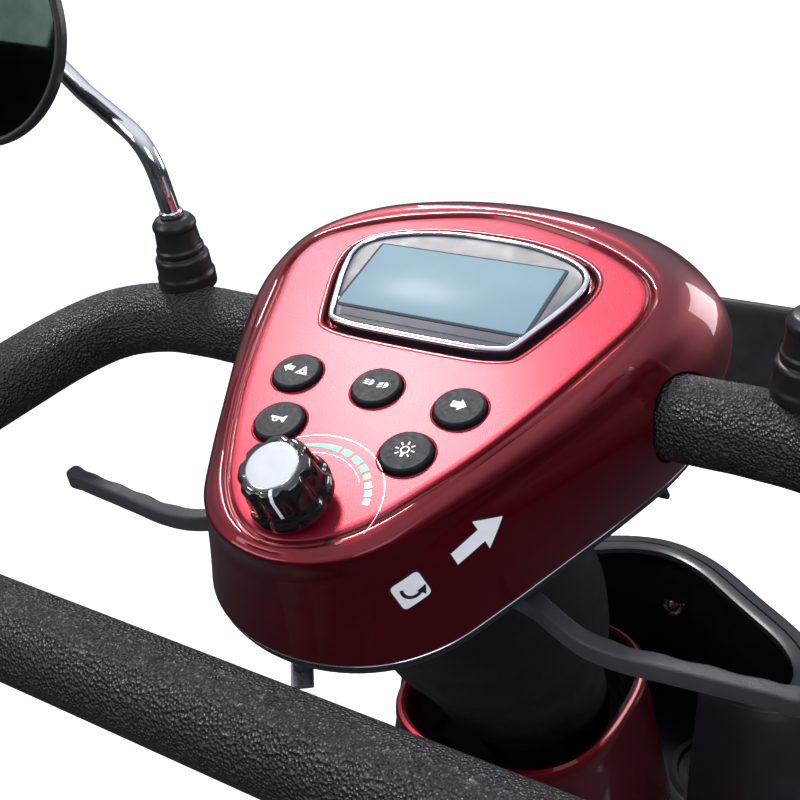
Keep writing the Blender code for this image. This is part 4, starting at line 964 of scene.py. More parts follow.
def draped(outline, place, high, step=0.0012):
    """Thin mark cut into a fine grid in its own plane and laid onto the painted cover."""
    bm = bmesh.new()
    bm.faces.new([bm.verts.new((x, y, 0.0)) for x, y in outline])
    bmesh.ops.triangulate(bm, faces=bm.faces[:])
    for normal in (X_AXIS, Y_AXIS):
        reach = int(max(abs(Vector((x, y, 0.0)).dot(normal)) for x, y in outline) / step)
        for k in range(-reach, reach + 1):
            geometry = bm.verts[:] + bm.edges[:] + bm.faces[:]
            bmesh.ops.bisect_plane(bm, geom=geometry, plane_co=normal * k * step, plane_no=normal)
    inward = -(place.to_3x3() @ Z_AXIS)
    for vert in bm.verts:
        spot, normal, _, _ = COVER_SURFACE.ray_cast(place @ (vert.co + Z_AXIS * 0.012), inward, 0.03)
        vert.co = spot + normal * high
    bmesh.ops.recalc_face_normals(bm, faces=bm.faces)
    bmesh.ops.solidify(bm, geom=bm.faces[:], thickness=0.00008)
    return bm


def mark_place(centre, normal, along):
    """Frame on the cover's side with X along the mark and Z outwards."""
    normal = Vector(normal).normalized()
    x = Vector(along)
    x = (x - normal * x.dot(normal)).normalized()
    turn = Matrix((x, normal.cross(x), normal)).transposed().to_4x4()
    return console_matrix() @ Matrix.Translation(centre) @ turn


def make_side_marks():
    """White arrow and small fold symbol on the right flank of the cover."""
    place = mark_place((0.062, -0.051, -0.029), (0.83, -0.49, 0.27), (0.41, 0.86, 0.30))
    arrow = [(0.0120, 0.0), (0.0013, 0.0069), (0.0013, 0.00285), (-0.0120, 0.00285), (-0.0120, -0.00285),
             (0.0013, -0.00285), (0.0013, -0.0069)]
    body, slot = "tiller", "console_top_shell"
    piece("flank_arrow_edge", draped(offset_outline(np.array(arrow), 0.0008), place, 0.00015), PRINT_BLACK,
          body)
    piece("flank_arrow", draped(arrow, place, 0.00028), PRINT_WHITE, body)
    place = mark_place((0.047, -0.077, -0.038), (0.72, -0.69, 0.10), (0.64, 0.64, -0.41))
    square = rounded_outline([(-0.0085, 0.0), (0.0, -0.0085), (0.0085, 0.0), (0.0, 0.0085)], 0.0022)
    piece("flank_badge_edge", draped(offset_outline(np.array(square), 0.0007), place, 0.00015), PRINT_BLACK,
          body)
    piece("flank_badge", draped(square, place, 0.00028), PRINT_WHITE, body)
    bow = band((0.0, 0.0012), 0.0032, 0.0046, 200, 340, 14)
    head = [(0.0062, -0.0006), (0.0022, 0.0002), (0.0048, 0.0034)]
    piece("flank_badge_bow", draped(bow, place, 0.00042, 0.0008), PRINT_BLACK, body)
    piece("flank_badge_head", draped(head, place, 0.00042, 0.0008), PRINT_BLACK, body)


COVER_MATRIX = COVER.matrix_world
COVER_SURFACE = BVHTree.FromPolygons([COVER_MATRIX @ v.co for v in COVER.data.vertices],
                                     [tuple(p.vertices) for p in COVER.data.polygons])
make_side_marks()

# ---------------------------------------------------------------- handlebar

BAR_R = 0.018
BAR_Y, BAR_Z = 0.0434, -0.0277
NEAR_BAR_Y, NEAR_BAR_Z = -0.1475, -0.0465
GRIP_START = 0.0985


def loop_half(first):
    """Right half of the handlebar's centre line in the console frame, from the front bar to the near bar."""
    slope = (BAR_Z - NEAR_BAR_Z) / (BAR_Y - NEAR_BAR_Y)
    plan = first + [(0.136, BAR_Y), (0.163, 0.0405), (0.186, 0.0285), (0.200, 0.0060), (0.210, -0.0260),
                    (0.2190, -0.0600), (0.2270, -0.0930), (0.2240, -0.1190), (0.2060, -0.1390),
                    (0.1800, -0.1465), (0.120, NEAR_BAR_Y), (0.060, NEAR_BAR_Y), (0.0, NEAR_BAR_Y)]
    return [(x, y, BAR_Z + (y - BAR_Y) * slope) for x, y in plan]


def loop_line(first, steps):
    right = loop_half(first)
    left = [(-x, y, z) for x, y, z in reversed(right[:-1])]
    return [console_point(*p) for p in smooth(right + left, steps)]


def make_handlebar():
    """Steel tube with a moulded skin; the skin carries a mould seam underneath and soft rounded ends."""
    tube = [console_point(x, BAR_Y, BAR_Z) for x in (-0.104, -0.05, 0.05, 0.104)]
    piece("handlebar_core", rod(tube, 0.0110, 32), ZINC, "tiller", ("handlebar_tube",))
    path = loop_line([(GRIP_START, BAR_Y), (0.108, BAR_Y), (0.120, BAR_Y)], 8)
    count = 36
    section = []
    for k in range(count):
        a = 2 * math.pi * k / count
        ridge = 0.00045 if k == 3 * count // 4 else 0.0
        section.append((math.cos(a) * (BAR_R + ridge), math.sin(a) * (BAR_R + ridge)))
    length = sum((b - a).length for a, b in zip(path[:-1], path[1:]))

    def end_taper(t):
        distance = min(t, 1 - t) * length
        if distance > 0.005:
            return 1.0
        return 0.80 + 0.20 * math.sqrt(max(0.0, 1 - (1 - distance / 0.005) ** 2))

    ends = [path[0] + (path[1] - path[0]) * t for t in (0.02, 0.06, 0.14, 0.3, 0.55)]
    far = [path[-1] + (path[-2] - path[-1]) * t for t in (0.55, 0.3, 0.14, 0.06, 0.02)]
    full = [path[0]] + ends + path[1:-1] + far + [path[-1]]
    travel = [0.0]
    for a, b in zip(full[:-1], full[1:]):
        travel.append(travel[-1] + (b - a).length)
    shares = [t / travel[-1] for t in travel]
    bm = sweep(full, section, up=CONSOLE_UP, scale=lambda t: end_taper(shares[round(t * (len(full) - 1))]))
    piece("handlebar_skin", bm, GRIP_SKIN, "tiller", ("handlebar_grip",), angle=60.0)


make_handlebar()

# ---------------------------------------------------------------- finger levers

LEVER_Z = -0.0800


def make_levers():
    """Two finger levers on one rocking plate; their far edges are scalloped for the fingers."""
    half = [(0.046, -0.0240, 0.0100), (0.060, -0.0250, 0.0098), (0.072, -0.0285, 0.0088),
            (0.084, -0.0345, 0.0080),
            (0.097, -0.0400, 0.0076), (0.112, -0.0415, 0.0074), (0.130, -0.0400, 0.0072),
            (0.148, -0.0385, 0.0070),
            (0.166, -0.0370, 0.0068), (0.1795, -0.0352, 0.0064)]
    line = smooth(half, 7)
    for side, label in ((-1, "left"), (1, "right")):
        rings = []
        for x, y, width in line:
            scallop = 0.0
            if x > 0.098:
                scallop = 0.0004 * math.cos((x - 0.106) / 0.0190 * 2 * math.pi) * min(1.0,
                                                                                      (x - 0.098) / 0.010)
            tip = math.sqrt(max(0.06, 1 - max(0.0, (x - 0.1750) / 0.0048) ** 2)) if x > 0.1750 else 1.0
            flare = 1.0 + 0.35 * max(0.0, min(1.0, (x - 0.168) / 0.006))
            w, h = width * tip * flare, 0.0090 * (0.55 + 0.45 * tip)
            section = rounded_outline([(-w / 2, -h / 2), (w / 2 + scallop, -h / 2), (w / 2 + scallop, h / 2),
                                       (-w / 2, h / 2)], 0.0016, 3)
            ring = [console_point(side * x, y + u, LEVER_Z + v) for u, v in section]
            rings.append(ring)
        stands = ("throttle_lever",) if side < 0 else ()
        piece("finger_lever_" + label, loft(rings), LEVER_GREY, "throttle", stands,
              angle=38.0)
    plate = beam_box((0.0, -0.0240, LEVER_Z), (0.104, 0.010, 0.0086), 0.0015, 2, console_matrix())
    piece("lever_plate", plate, POWDER, "throttle")
    release = [(-0.024, -0.0450, -0.0830), (-0.023, -0.051, -0.0865), (-0.022, -0.058, -0.090),
               (-0.015, -0.074, -0.099), (-0.008, -0.086, -0.105)]
    path = [console_point(*p) for p in smooth(release, 6)]
    bm = sweep(path, round_box_section(0.0095, 0.0036, 0.0012), up=CONSOLE_UP)
    piece("tilt_release_lever", bm, ZINC, "tilt_release", ("tilt_lever",), angle=40.0)


make_levers()


def make_under_fittings():
    """Bright latch keeper and small screws under the near edge of the console."""
    base = console_point(0.0335, -0.0790, -0.0725)
    place = axis_frame(base, console_point(0.30, -0.92, -0.14) - CONSOLE, CONSOLE_UP)
    loop = rounded_outline([(-0.0062, -0.0032), (0.0062, -0.0032), (0.0062, 0.0032), (-0.0062, 0.0032)],
                           0.002, 4)
    path = [place @ Vector((x, y, 0.0012)) for x, y in loop]
    keeper = sweep(path, circle(0.0009, 10), cyclic=True, up=place.to_3x3() @ Z_AXIS)
    piece("latch_keeper", keeper, CHROME, "tiller", angle=60.0)
    screws = []
    for x, y in ((0.0560, -0.0560), (-0.0560, -0.0560), (0.086, 0.040), (-0.086, 0.040)):
        head = arc_profile([(0.0, 0.0), (0.0036, 0.0), (0.0036, 0.0016), (0.0028, 0.0024), (0.0014, 0.0022),
                            (0.0012, 0.0012), (0.0, 0.0012)], 0.0004, 2)
        screws.append(lathe(head, axis_frame(console_point(x, y, -0.0700), -CONSOLE_UP), 24))
    piece("console_screws", merged(screws), ZINC, "tiller")


make_under_fittings()

# ---------------------------------------------------------------- mirrors


def make_mirror(side, label):
    """Rubber boot on the bar, bent chrome stalk, round dished housing and glass whose dark mottled colour is a
    painted reflection.
    """
    base = console_point(side * 0.1529, 0.0515, -0.0130)
    place = axis_frame(base, CONSOLE_UP)
    outline = [(0.0, 0.0), (0.0146, 0.0), (0.0148, 0.0070), (0.0138, 0.0090), (0.0136, 0.0168),
               (0.0129, 0.0180),
               (0.0116, 0.0184), (0.0116, 0.0196), (0.0121, 0.0202), (0.0121, 0.0220), (0.0112, 0.0228),
               (0.0104, 0.0320), (0.0110, 0.0330), (0.0108, 0.0352), (0.0086, 0.0378), (0.0052, 0.0385),
               (0.0, 0.0386)]
    boot = lathe(arc_profile(outline, 0.0008, 3), place, 56)
    piece("mirror_boot_rubber_" + label, boot, BOOT_RUBBER, "tiller",
          ("mirror_boot_" + label,), angle=50.0)

    def local(z):
        return place @ Vector((0.0, 0.0, z))

    tip = CONSOLE + Vector((side * 0.2300, 0.0480, 0.1080))
    corner = CONSOLE + Vector((side * 0.1560, 0.0335, 0.0730))
    low, out = local(0.046), CONSOLE + Vector((side * 0.2030, 0.0430, 0.0930))
    bend = []
    a, b = corner + (low - corner) * 0.55, corner + (out - corner) * 0.30
    for k in range(9):
        t = k / 8
        bend.append(a * (1 - t) ** 2 + corner * 2 * t * (1 - t) + b * t * t)
    end = CONSOLE + Vector((side * 0.2210, 0.0466, 0.1030))
    path = [local(0.0180), local(0.0300), local(0.0400)] + bend + [out, end, tip]
    stalk = rod(path, 0.0048, 28, up=Y_AXIS)
    collar = cylinder(local(0.0386), local(0.0415), 0.0060, 0.0008, 32)
    ball = bmesh.new()
    bmesh.ops.create_uvsphere(ball, u_segments=24, v_segments=16, radius=0.0062)
    bmesh.ops.translate(ball, vec=tip, verts=ball.verts)
    piece("mirror_stalk_chrome_" + label, merged([stalk, collar, ball]), CHROME, "mirror_stalk_" + label,
          ("mirror_arm_" + label,), angle=50.0)

    centre = CONSOLE + Vector((side * 0.2440, 0.0175, 0.1210))
    facing = Vector((-side * 0.17, -0.97, 0.10)).normalized()
    head = axis_frame(centre, facing, Z_AXIS)
    dish = [(0.0, -0.0148), (0.0150, -0.0144), (0.0300, -0.0126), (0.0410, -0.0092), (0.0488, -0.0042),
            (0.0528, 0.0014), (0.0541, 0.0030), (0.0541, 0.0072), (0.0534, 0.0083), (0.0518, 0.0086),
            (0.0506, 0.0080),
            (0.0502, 0.0052), (0.0, 0.0050)]
    shell = lathe(arc_profile(dish, 0.0014, 3), head, 96)
    socket_end = centre - facing * 0.0125
    start = tip + (socket_end - tip).normalized() * 0.0050
    boss = cylinder(socket_end, start, 0.0110, 0.0016, 40, radius_end=0.0066)
    piece("mirror_housing_" + label, merged([shell, boss]), SATIN_BLACK, "mirror_" + label,
          ("mirror_head_" + label,), angle=50.0)
    # The glass colour is a painted dark reflection.
    glass = [(0.0, 0.0048), (0.0502, 0.0048), (0.0502, 0.0060)]
    glass += [(0.0502 * (1 - k / 10), 0.0060 + 0.0014 * (1 - (1 - k / 10) ** 2)) for k in range(1, 11)]
    piece("mirror_face_" + label, lathe(glass, head, 96), MIRROR_PAINTED_REFLECTION, "mirror_" + label,
          ("mirror_glass_" + label,), angle=50.0)


for mirror_side, mirror_label in ((-1, "left"), (1, "right")):
    make_mirror(mirror_side, mirror_label)

# ---------------------------------------------------------------- tiller column

TILT_PIVOT = Vector((0.0, 0.2804, 0.715))
COLUMN_RAKE = math.atan2(0.122, 0.187)
COLUMN_DIR = Vector((0.0, -math.sin(COLUMN_RAKE), math.cos(COLUMN_RAKE)))
STEER_RAKE = math.radians(20.0)
STEER_DIR = Vector((0.0, -math.sin(STEER_RAKE), math.cos(STEER_RAKE)))


def column_point(distance):
    return TILT_PIVOT + COLUMN_DIR * distance


def steer_point(distance):
    return TILT_PIVOT + STEER_DIR * distance


def make_column_cover():
    """Tapered plastic sleeve between the collar and the console neck."""
    sections = smooth([(-0.022, 0.0400, 0.0400, 0.0), (-0.010, 0.0435, 0.0425, 0.0),
                       (0.010, 0.0448, 0.0442, -0.0002), (0.040, 0.0468, 0.0465, -0.0005),
                       (0.070, 0.0510, 0.0512, -0.0020), (0.110, 0.0590, 0.0570, 0.0),
                       (0.150, 0.0640, 0.0610, -0.0030)], 4)
    count = 72
    rings = []
    for distance, half_x, half_n, shift in sections:
        place = axis_frame(column_point(distance), COLUMN_DIR)
        rings.append([place @ Vector((math.cos(2 * math.pi * i / count) * half_x,
                                      math.sin(2 * math.pi * i / count) * half_n + shift, 0.0))
                      for i in range(count)])
    for scale, z in ((0.985, -0.0985), (1.0, -0.0945), (0.99, -0.0938), (0.95, -0.0938)):
        rings.append([console_point(math.cos(2 * math.pi * i / count) * 0.0635 * scale,
                                    math.sin(2 * math.pi * i / count) * 0.0610 * scale + 0.026, z)
                      for i in range(count)])
    piece("column_sleeve", loft(rings, caps=(False, False)), SLEEVE_BLACK, "tiller",
          ("column_cover",), angle=40.0)


make_column_cover()

# ---------------------------------------------------------------- basket


def make_basket():
    """Moulded tray ahead of the console: rolled rim, dished floor with ribs, chrome rivets."""
    def ring(half, near, far, z, radius=0.022):
        pts = rounded_outline([(half, near), (half, far), (-half, far), (-half, near)], radius, 7)
        return [CONSOLE + Vector((x, y, z)) for x, y in pts]

    rim = -0.070
    rings = [
        ring(0.137, 0.308, 0.377, -0.1490, 0.016), ring(0.1420, 0.303, 0.382, -0.1480, 0.018),
        ring(0.1450, 0.2985, 0.3850, -0.1440, 0.020), ring(0.1615, 0.218, 0.3965, rim - 0.010),
        ring(0.1625, 0.2145, 0.3972, rim - 0.0040), ring(0.1640, 0.2125, 0.3985, rim - 0.0012),
        ring(0.1665, 0.2100, 0.4010, rim + 0.0000), ring(0.1695, 0.2070, 0.4040, rim - 0.0006),
        ring(0.1708, 0.2058, 0.4058, rim - 0.0026), ring(0.1708, 0.2058, 0.4058, rim - 0.0085),
        ring(0.1698, 0.2068, 0.4048, rim - 0.0092), ring(0.1655, 0.2110, 0.4005, rim - 0.0088),
        ring(0.1645, 0.2130, 0.3995, rim - 0.0130), ring(0.1475, 0.2960, 0.3875, -0.1480, 0.020),
        ring(0.1440, 0.3000, 0.3840, -0.1520, 0.018), ring(0.137, 0.307, 0.378, -0.1530, 0.016),
    ]
    ribs = [beam_box(CONSOLE + Vector((x, 0.3425, -0.1480)), (0.004, 0.062, 0.0036), 0.0012, 2)
            for x in np.linspace(-0.12, 0.12, 9)]
    piece("basket_tray", merged([loft(rings)] + ribs), SATIN_BLACK, "tiller",
          ("front_basket",),
          angle=40.0)
    rivets = []
    near_wall = Vector((0.0, -0.74, 0.67)).normalized()
    for x in (-0.140, -0.030, 0.030, 0.140):
        profile = arc_profile([(0.0, -0.001), (0.0042, -0.001), (0.0042, 0.0008), (0.0030, 0.0019),
                               (0.0, 0.0023)],
                              0.0006, 3)
        spot = CONSOLE + Vector((x, 0.2315, -0.0900))
        rivets.append(lathe(profile, axis_frame(spot, -near_wall, X_AXIS), 28))
    piece("basket_rivets", merged(rivets), CHROME, "tiller", angle=50.0)
    plate = Matrix.Translation(CONSOLE + Vector((0.0, 0.198, -0.122))) @ Matrix.Rotation(math.radians(46.0),
                                                                                         4, "X")
    arm = [console_point(0.0, 0.034, -0.050), console_point(0.0, 0.085, -0.0785),
           console_point(0.0, 0.104, -0.090),
           CONSOLE + Vector((0.0, 0.196, -0.125))]
    arm_path = [Vector(p) for p in smooth(arm, 6)]
    clamp = beam_box((0.0, BAR_Y - 0.006, BAR_Z - 0.0215), (0.10, 0.036, 0.018), 0.003, 2, console_matrix())
    tube = cylinder(column_point(0.0145), column_point(0.280), 0.0160, 0.001, 40)
    lug = cylinder(TILT_PIVOT - X_AXIS * 0.0125, TILT_PIVOT + X_AXIS * 0.0125, 0.020, 0.0012, 40)
    bracket = beam_box((0.0, 0.0, 0.0), (0.12, 0.004, 0.05), 0.0014, 2, plate)
    piece("column_frame", merged([rod(arm_path, 0.009, 24, up=X_AXIS), clamp, tube, lug, bracket]), POWDER,
          "tiller", ("tiller_column",), angle=45.0)


make_basket()

# ---------------------------------------------------------------- collar and nose cowl

COLLAR = np.array([
    (0.2130, 0.1040, 0.3260, 0.5400), (0.3000, 0.1000, 0.3180, 0.5200), (0.4200, 0.0920, 0.2900, 0.4800),
    (0.5500, 0.0790, 0.2430, 0.4300), (0.6600, 0.0700, 0.1980, 0.3820), (0.7400, 0.0655, 0.1720, 0.3410),
    (0.7520, 0.0650, 0.1690, 0.3360),
])
COLLAR_POWER = 0.72


def collar_ring(z, inset=0.0, count=96):
    """Rounded, blunt-cornered ring of the steering collar at a height."""
    half, y0, y1 = (float(np.interp(z, COLLAR[:, 0], COLLAR[:, k])) for k in (1, 2, 3))
    reach, centre = (y1 - y0) / 2 - inset, (y0 + y1) / 2
    ring = []
    for i in range(count):
        a = 2 * math.pi * i / count
        c, s = math.cos(a), math.sin(a)
        ring.append(Vector((math.copysign(abs(c) ** COLLAR_POWER, c) * (half - inset),
                            math.copysign(abs(s) ** COLLAR_POWER, s) * reach + centre, z)))
    return ring


def make_collar():
    """Painted collar with a thick rolled rim, standing on the floor and leaning towards the rider."""
    levels = [(z, 0.0) for z in np.linspace(0.2130, 0.7250, 22)]
    levels += [(0.7360, 0.0), (0.7440, -0.0007), (0.7480, -0.0004), (0.7506, 0.0010), (0.7514, 0.0030),
               (0.7506, 0.0050), (0.7480, 0.0064), (0.7440, 0.0070), (0.7300, 0.0070), (0.6900, 0.0066)]
    levels += [(z, 0.0045) for z in np.linspace(0.6600, 0.2130, 8)]
    shell = to_object("steering_collar", loft([collar_ring(z, inset) for z, inset in levels], cyclic=True),
                      CANDY)
    boolean(shell, beam_box((0.0, 0.540, 0.215), (0.116, 0.080, 0.026), 0.003))
    sharpen(shell, 40.0)
    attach(shell, "chassis")
    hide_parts("front_shroud")
    foot = [collar_ring(z, inset) for z, inset in ((0.2070, 0.0), (0.2070, -0.0050), (0.2110, -0.0056),
                                                   (0.2150, -0.0040), (0.2170, -0.0006))]
    piece("collar_foot_seal", loft(foot, caps=(False, False)), BOOT_RUBBER, "chassis")


make_collar()

COWL_LEVELS = [
    (0.700, [(0.080, 0.362), (0.118, 0.362), (0.146, 0.380), (0.152, 0.420), (0.132, 0.462), (0.087, 0.503),
             (0.042, 0.540), (0.0, 0.553)]),
    (0.640, [(0.082, 0.352), (0.122, 0.352), (0.152, 0.370), (0.160, 0.420), (0.142, 0.474), (0.094, 0.526),
             (0.045, 0.566), (0.0, 0.580)]),
    (0.540, [(0.090, 0.344), (0.130, 0.344), (0.160, 0.362), (0.170, 0.425), (0.152, 0.495), (0.102, 0.562),
             (0.050, 0.604), (0.0, 0.618)]),
    (0.440, [(0.098, 0.336), (0.138, 0.336), (0.166, 0.354), (0.176, 0.430), (0.160, 0.512), (0.108, 0.590),
             (0.053, 0.634), (0.0, 0.648)]),
    (0.362, [(0.104, 0.328), (0.142, 0.330), (0.168, 0.350), (0.178, 0.430), (0.162, 0.520), (0.110, 0.606),
             (0.055, 0.652), (0.0, 0.664)]),
]


def cowl_line(level):
    """Fine open line of the cowl from right to left at a whole or part level."""
    low = min(int(level), len(COWL_LEVELS) - 2)
    share = level - low
    (za, half_a), (zb, half_b) = COWL_LEVELS[low], COWL_LEVELS[low + 1]
    half = np.array(half_a) * (1 - share) + np.array(half_b) * share
    line = list(half) + [np.array((-x, y)) for x, y in half[::-1][1:]]
    return np.array(smooth(line, 6)), za * (1 - share) + zb * share


def cowl_ring(level, inset=0.0, lift=0.0):
    """The cowl's line moved inwards and raised."""
    line, z = cowl_line(level)
    tangent = np.gradient(line, axis=0)
    tangent /= np.linalg.norm(tangent, axis=1)[:, None]
    inward = np.stack([-tangent[:, 1], tangent[:, 0]], 1)
    moved = line + inward * inset
    return [Vector((x, y, z + lift)) for x, y in moved]


def arch(side, axle_y, inner_x, outer_x, radius, start, end, steps=44):
    """Mudguard with a rolled outer lip."""
    wall = 0.0035
    rings = []
    section = [(inner_x, radius), (outer_x - 0.016, radius), (outer_x - 0.008, radius - 0.0015),
               (outer_x - 0.002, radius - 0.006), (outer_x, radius - 0.012), (outer_x, radius - 0.020),
               (outer_x - wall, radius - 0.020), (outer_x - wall, radius - 0.012),
               (outer_x - 0.010, radius - wall - 0.0015), (inner_x, radius - wall)]
    for k in range(steps + 1):
        a = math.radians(start + (end - start) * k / steps)
        rings.append([Vector((side * x, axle_y + math.cos(a) * r, WHEEL_R + math.sin(a) * r)) for x,
                      r in section])
    return loft(rings)


WHEEL_R = 0.165
FRONT_AXLE_Y, REAR_AXLE_Y = 0.50, -0.47
TRACK = 0.245
KINGPIN_X = 0.178


def make_cowl():
    """Open nose cowl: broad flanged rim, lamp opening, inner floor, mudguards and chin."""
    rows = [cowl_ring(level) for level in np.linspace(4.0, 0.12, 26)]
    rim = [(0.0, 0.0, -0.0040), (0.0, 0.0010, -0.0012), (0.0, 0.0030, 0.0002), (0.0, 0.0060, 0.0006),
           (0.0, 0.0120, 0.0006), (0.0, 0.0126, -0.0008), (0.0, 0.0134, -0.0008), (0.0, 0.0140, 0.0004),
           (0.0, 0.0200, 0.0000), (0.0, 0.0225, -0.0014), (0.0, 0.0232, -0.0050), (0.0, 0.0180, -0.0090),
           (0.0, 0.0060, -0.0110), (0.3, 0.0044, 0.0)]
    rows += [cowl_ring(level, inset, lift) for level, inset, lift in rim]
    rows += [cowl_ring(level, 0.0042) for level in np.linspace(0.6, 4.0, 18)]
    shell = to_object("nose_cowl", loft(rows, cyclic=True, closed=False), COWL_BLACK)
    boolean(shell, loft([collar_ring(z, -0.0012) for z in (0.2130, 0.3, 0.42, 0.55, 0.66, 0.74)]))
    boolean(shell, cylinder((0.0, 0.590, 0.500), (0.0, 0.700, 0.480), 0.0468, 0.001, 64))
    sharpen(shell, 32.0)
    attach(shell, "chassis")
    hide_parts("front_fairing")
    floor = mirrored([(0.0, 0.350), (0.094, 0.347), (0.130, 0.347), (0.158, 0.364), (0.166, 0.425),
                      (0.148, 0.490),
                      (0.098, 0.553), (0.047, 0.594), (0.0, 0.608)])
    tray = to_object("pocket_floor", slab(np.array(smooth(floor, 4, cyclic=True)), 0.5500, 0.5540,
                                          level_point,
                                          0.0008), COWL_BLACK)
    boolean(tray, loft([collar_ring(z, -0.0012) for z in (0.53, 0.57)]))
    sharpen(tray, 35.0)
    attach(tray, "chassis")
    parts = [arch(side, FRONT_AXLE_Y, 0.108, 0.312, 0.206, 28.0, 166.0) for side in (-1, 1)]
    chin = []
    for z, w, y in ((0.366, 0.112, 0.600), (0.333, 0.110, 0.6075), (0.300, 0.108, 0.612),
                    (0.265, 0.104, 0.6150),
                    (0.236, 0.1005, 0.616), (0.230, 0.098, 0.6145)):
        half = smooth([(w, y), (w * 0.9, y + 0.030), (w * 0.5, y + 0.055), (0.0, y + 0.062)], 5)
        line = half + [np.array((-p[0], p[1])) for p in reversed(half[:-1])]
        chin.append([Vector((p[0], p[1], z)) for p in line] +
                    [Vector((p[0] * 0.93, p[1] - 0.0045, z)) for p in reversed(line)])
    parts.append(loft(chin))
    piece("nose_guards", merged(parts), COWL_BLACK, "chassis", angle=40.0)
    slots = [beam_box((0.0, 0.6775, z), (0.120 - 0.006 * k, 0.003, 0.006), 0.001) for k, z in
             enumerate((0.330, 0.316, 0.302, 0.288))]
    piece("nose_vents", merged(slots), PRINT_BLACK, "chassis")
    rings = []
    for radius in (0.046, 0.031):
        lip = [(radius - 0.004, 0.5538), (radius - 0.002, 0.5575), (radius + 0.002, 0.5580),
               (radius + 0.005, 0.5538)]
        for side in (-1, 1):
            rings.append(lathe(lip, Matrix.Translation((side * 0.092, 0.468, 0.0)), 64, closed=True))
    piece("pocket_bosses", merged(rings), COWL_BLACK, "chassis", angle=50.0)
    head = arc_profile([(0.0, -0.002), (0.0105, -0.002), (0.0105, 0.0012), (0.0082, 0.0020), (0.0078, 0.0006),
                        (0.0050, 0.0006), (0.0046, 0.0030), (0.0030, 0.0034), (0.0, 0.0034)], 0.0005, 3)
    bolts = []
    for x, y, z in ((0.001, 0.5810, 0.6210), (-0.118, 0.500, 0.620), (0.118, 0.500, 0.620)):
        inward = Vector((-x * 0.9, -0.55, 0.22))
        bolts.append(lathe(head, axis_frame((x, y, z), inward, Z_AXIS), 32))
    piece("cowl_bolts", merged(bolts), GLOSS_BLACK, "chassis", angle=45.0)


make_cowl()


def make_headlight():
    """Chromed bowl with a small lamp behind a domed clear lens."""
    place = axis_frame((0.0, 0.610, 0.4965), Vector((0.0, 0.11, -0.02)), Z_AXIS)
    bowl = [(0.0, -0.0340), (0.0180, -0.0320), (0.0380, -0.0120), (0.0455, 0.0040), (0.0455, 0.0240),
            (0.0430, 0.0240), (0.0425, 0.0060), (0.0360, -0.0090), (0.0180, -0.0270), (0.0060, -0.0295),
            (0.0, -0.0295)]
    piece("headlight_bowl", lathe(arc_profile(bowl, 0.002, 3), place, 72), REFLECTOR, "chassis",
          ("headlight",), angle=50.0)
    lens = [(0.0430, 0.0236), (0.0418, 0.0290), (0.0360, 0.0345), (0.0240, 0.0385), (0.0120, 0.0397),
            (0.0, 0.0400),
            (0.0, 0.0375), (0.0120, 0.0372), (0.0240, 0.0360), (0.0350, 0.0320), (0.0400, 0.0270),
            (0.0408, 0.0236)]
    piece("headlight_lens", lathe(lens, place, 72), LAMP_CLEAR, "chassis", angle=50.0)
    ring = [(0.0458, 0.0180), (0.0458, 0.0245), (0.0446, 0.0262), (0.0428, 0.0262), (0.0424, 0.0240),
            (0.0440, 0.0200)]
    piece("headlight_bezel", lathe(ring, place, 72, closed=True), CHROME, "chassis", angle=50.0)
    bulb = arc_profile([(0.0, -0.0290), (0.0070, -0.0290), (0.0070, -0.0180), (0.0050, -0.0160),
                        (0.0050, -0.0040),
                        (0.0, 0.0)], 0.002, 3)
    piece("headlight_bulb", lathe(bulb, place, 32), PRINT_WHITE, "chassis", angle=50.0)


make_headlight()


def make_front_bumper():
    path = smooth([(-0.150, 0.668, 0.240), (-0.110, 0.686, 0.240), (0.0, 0.690, 0.240), (0.110, 0.686, 0.240),
                   (0.150, 0.668, 0.240)], 10)
    parts = [rod(path, 0.0100, 28)]
    for side in (-1, 1):
        stay = smooth([(side * 0.040, 0.6365, 0.2150), (side * 0.043, 0.6760, 0.2150),
                       (side * 0.050, 0.6880, 0.2340)], 6)
        parts.append(rod(stay, 0.0060, 20))
    piece("front_guard_tube", merged(parts), POWDER, "chassis", ("front_bumper",), angle=50.0)
    caps = []
    for side in (-1, 1):
        end = Vector((side * 0.150, 0.668, 0.240))
        along = Vector((side * 0.040, -0.018, 0.0)).normalized()
        caps.append(cylinder(end - along * 0.010, end + along * 0.0035, 0.0110, 0.003, 28))
    piece("front_guard_caps", merged(caps), BOOT_RUBBER, "chassis", angle=50.0)


make_front_bumper()

# ---------------------------------------------------------------- floor and rear body


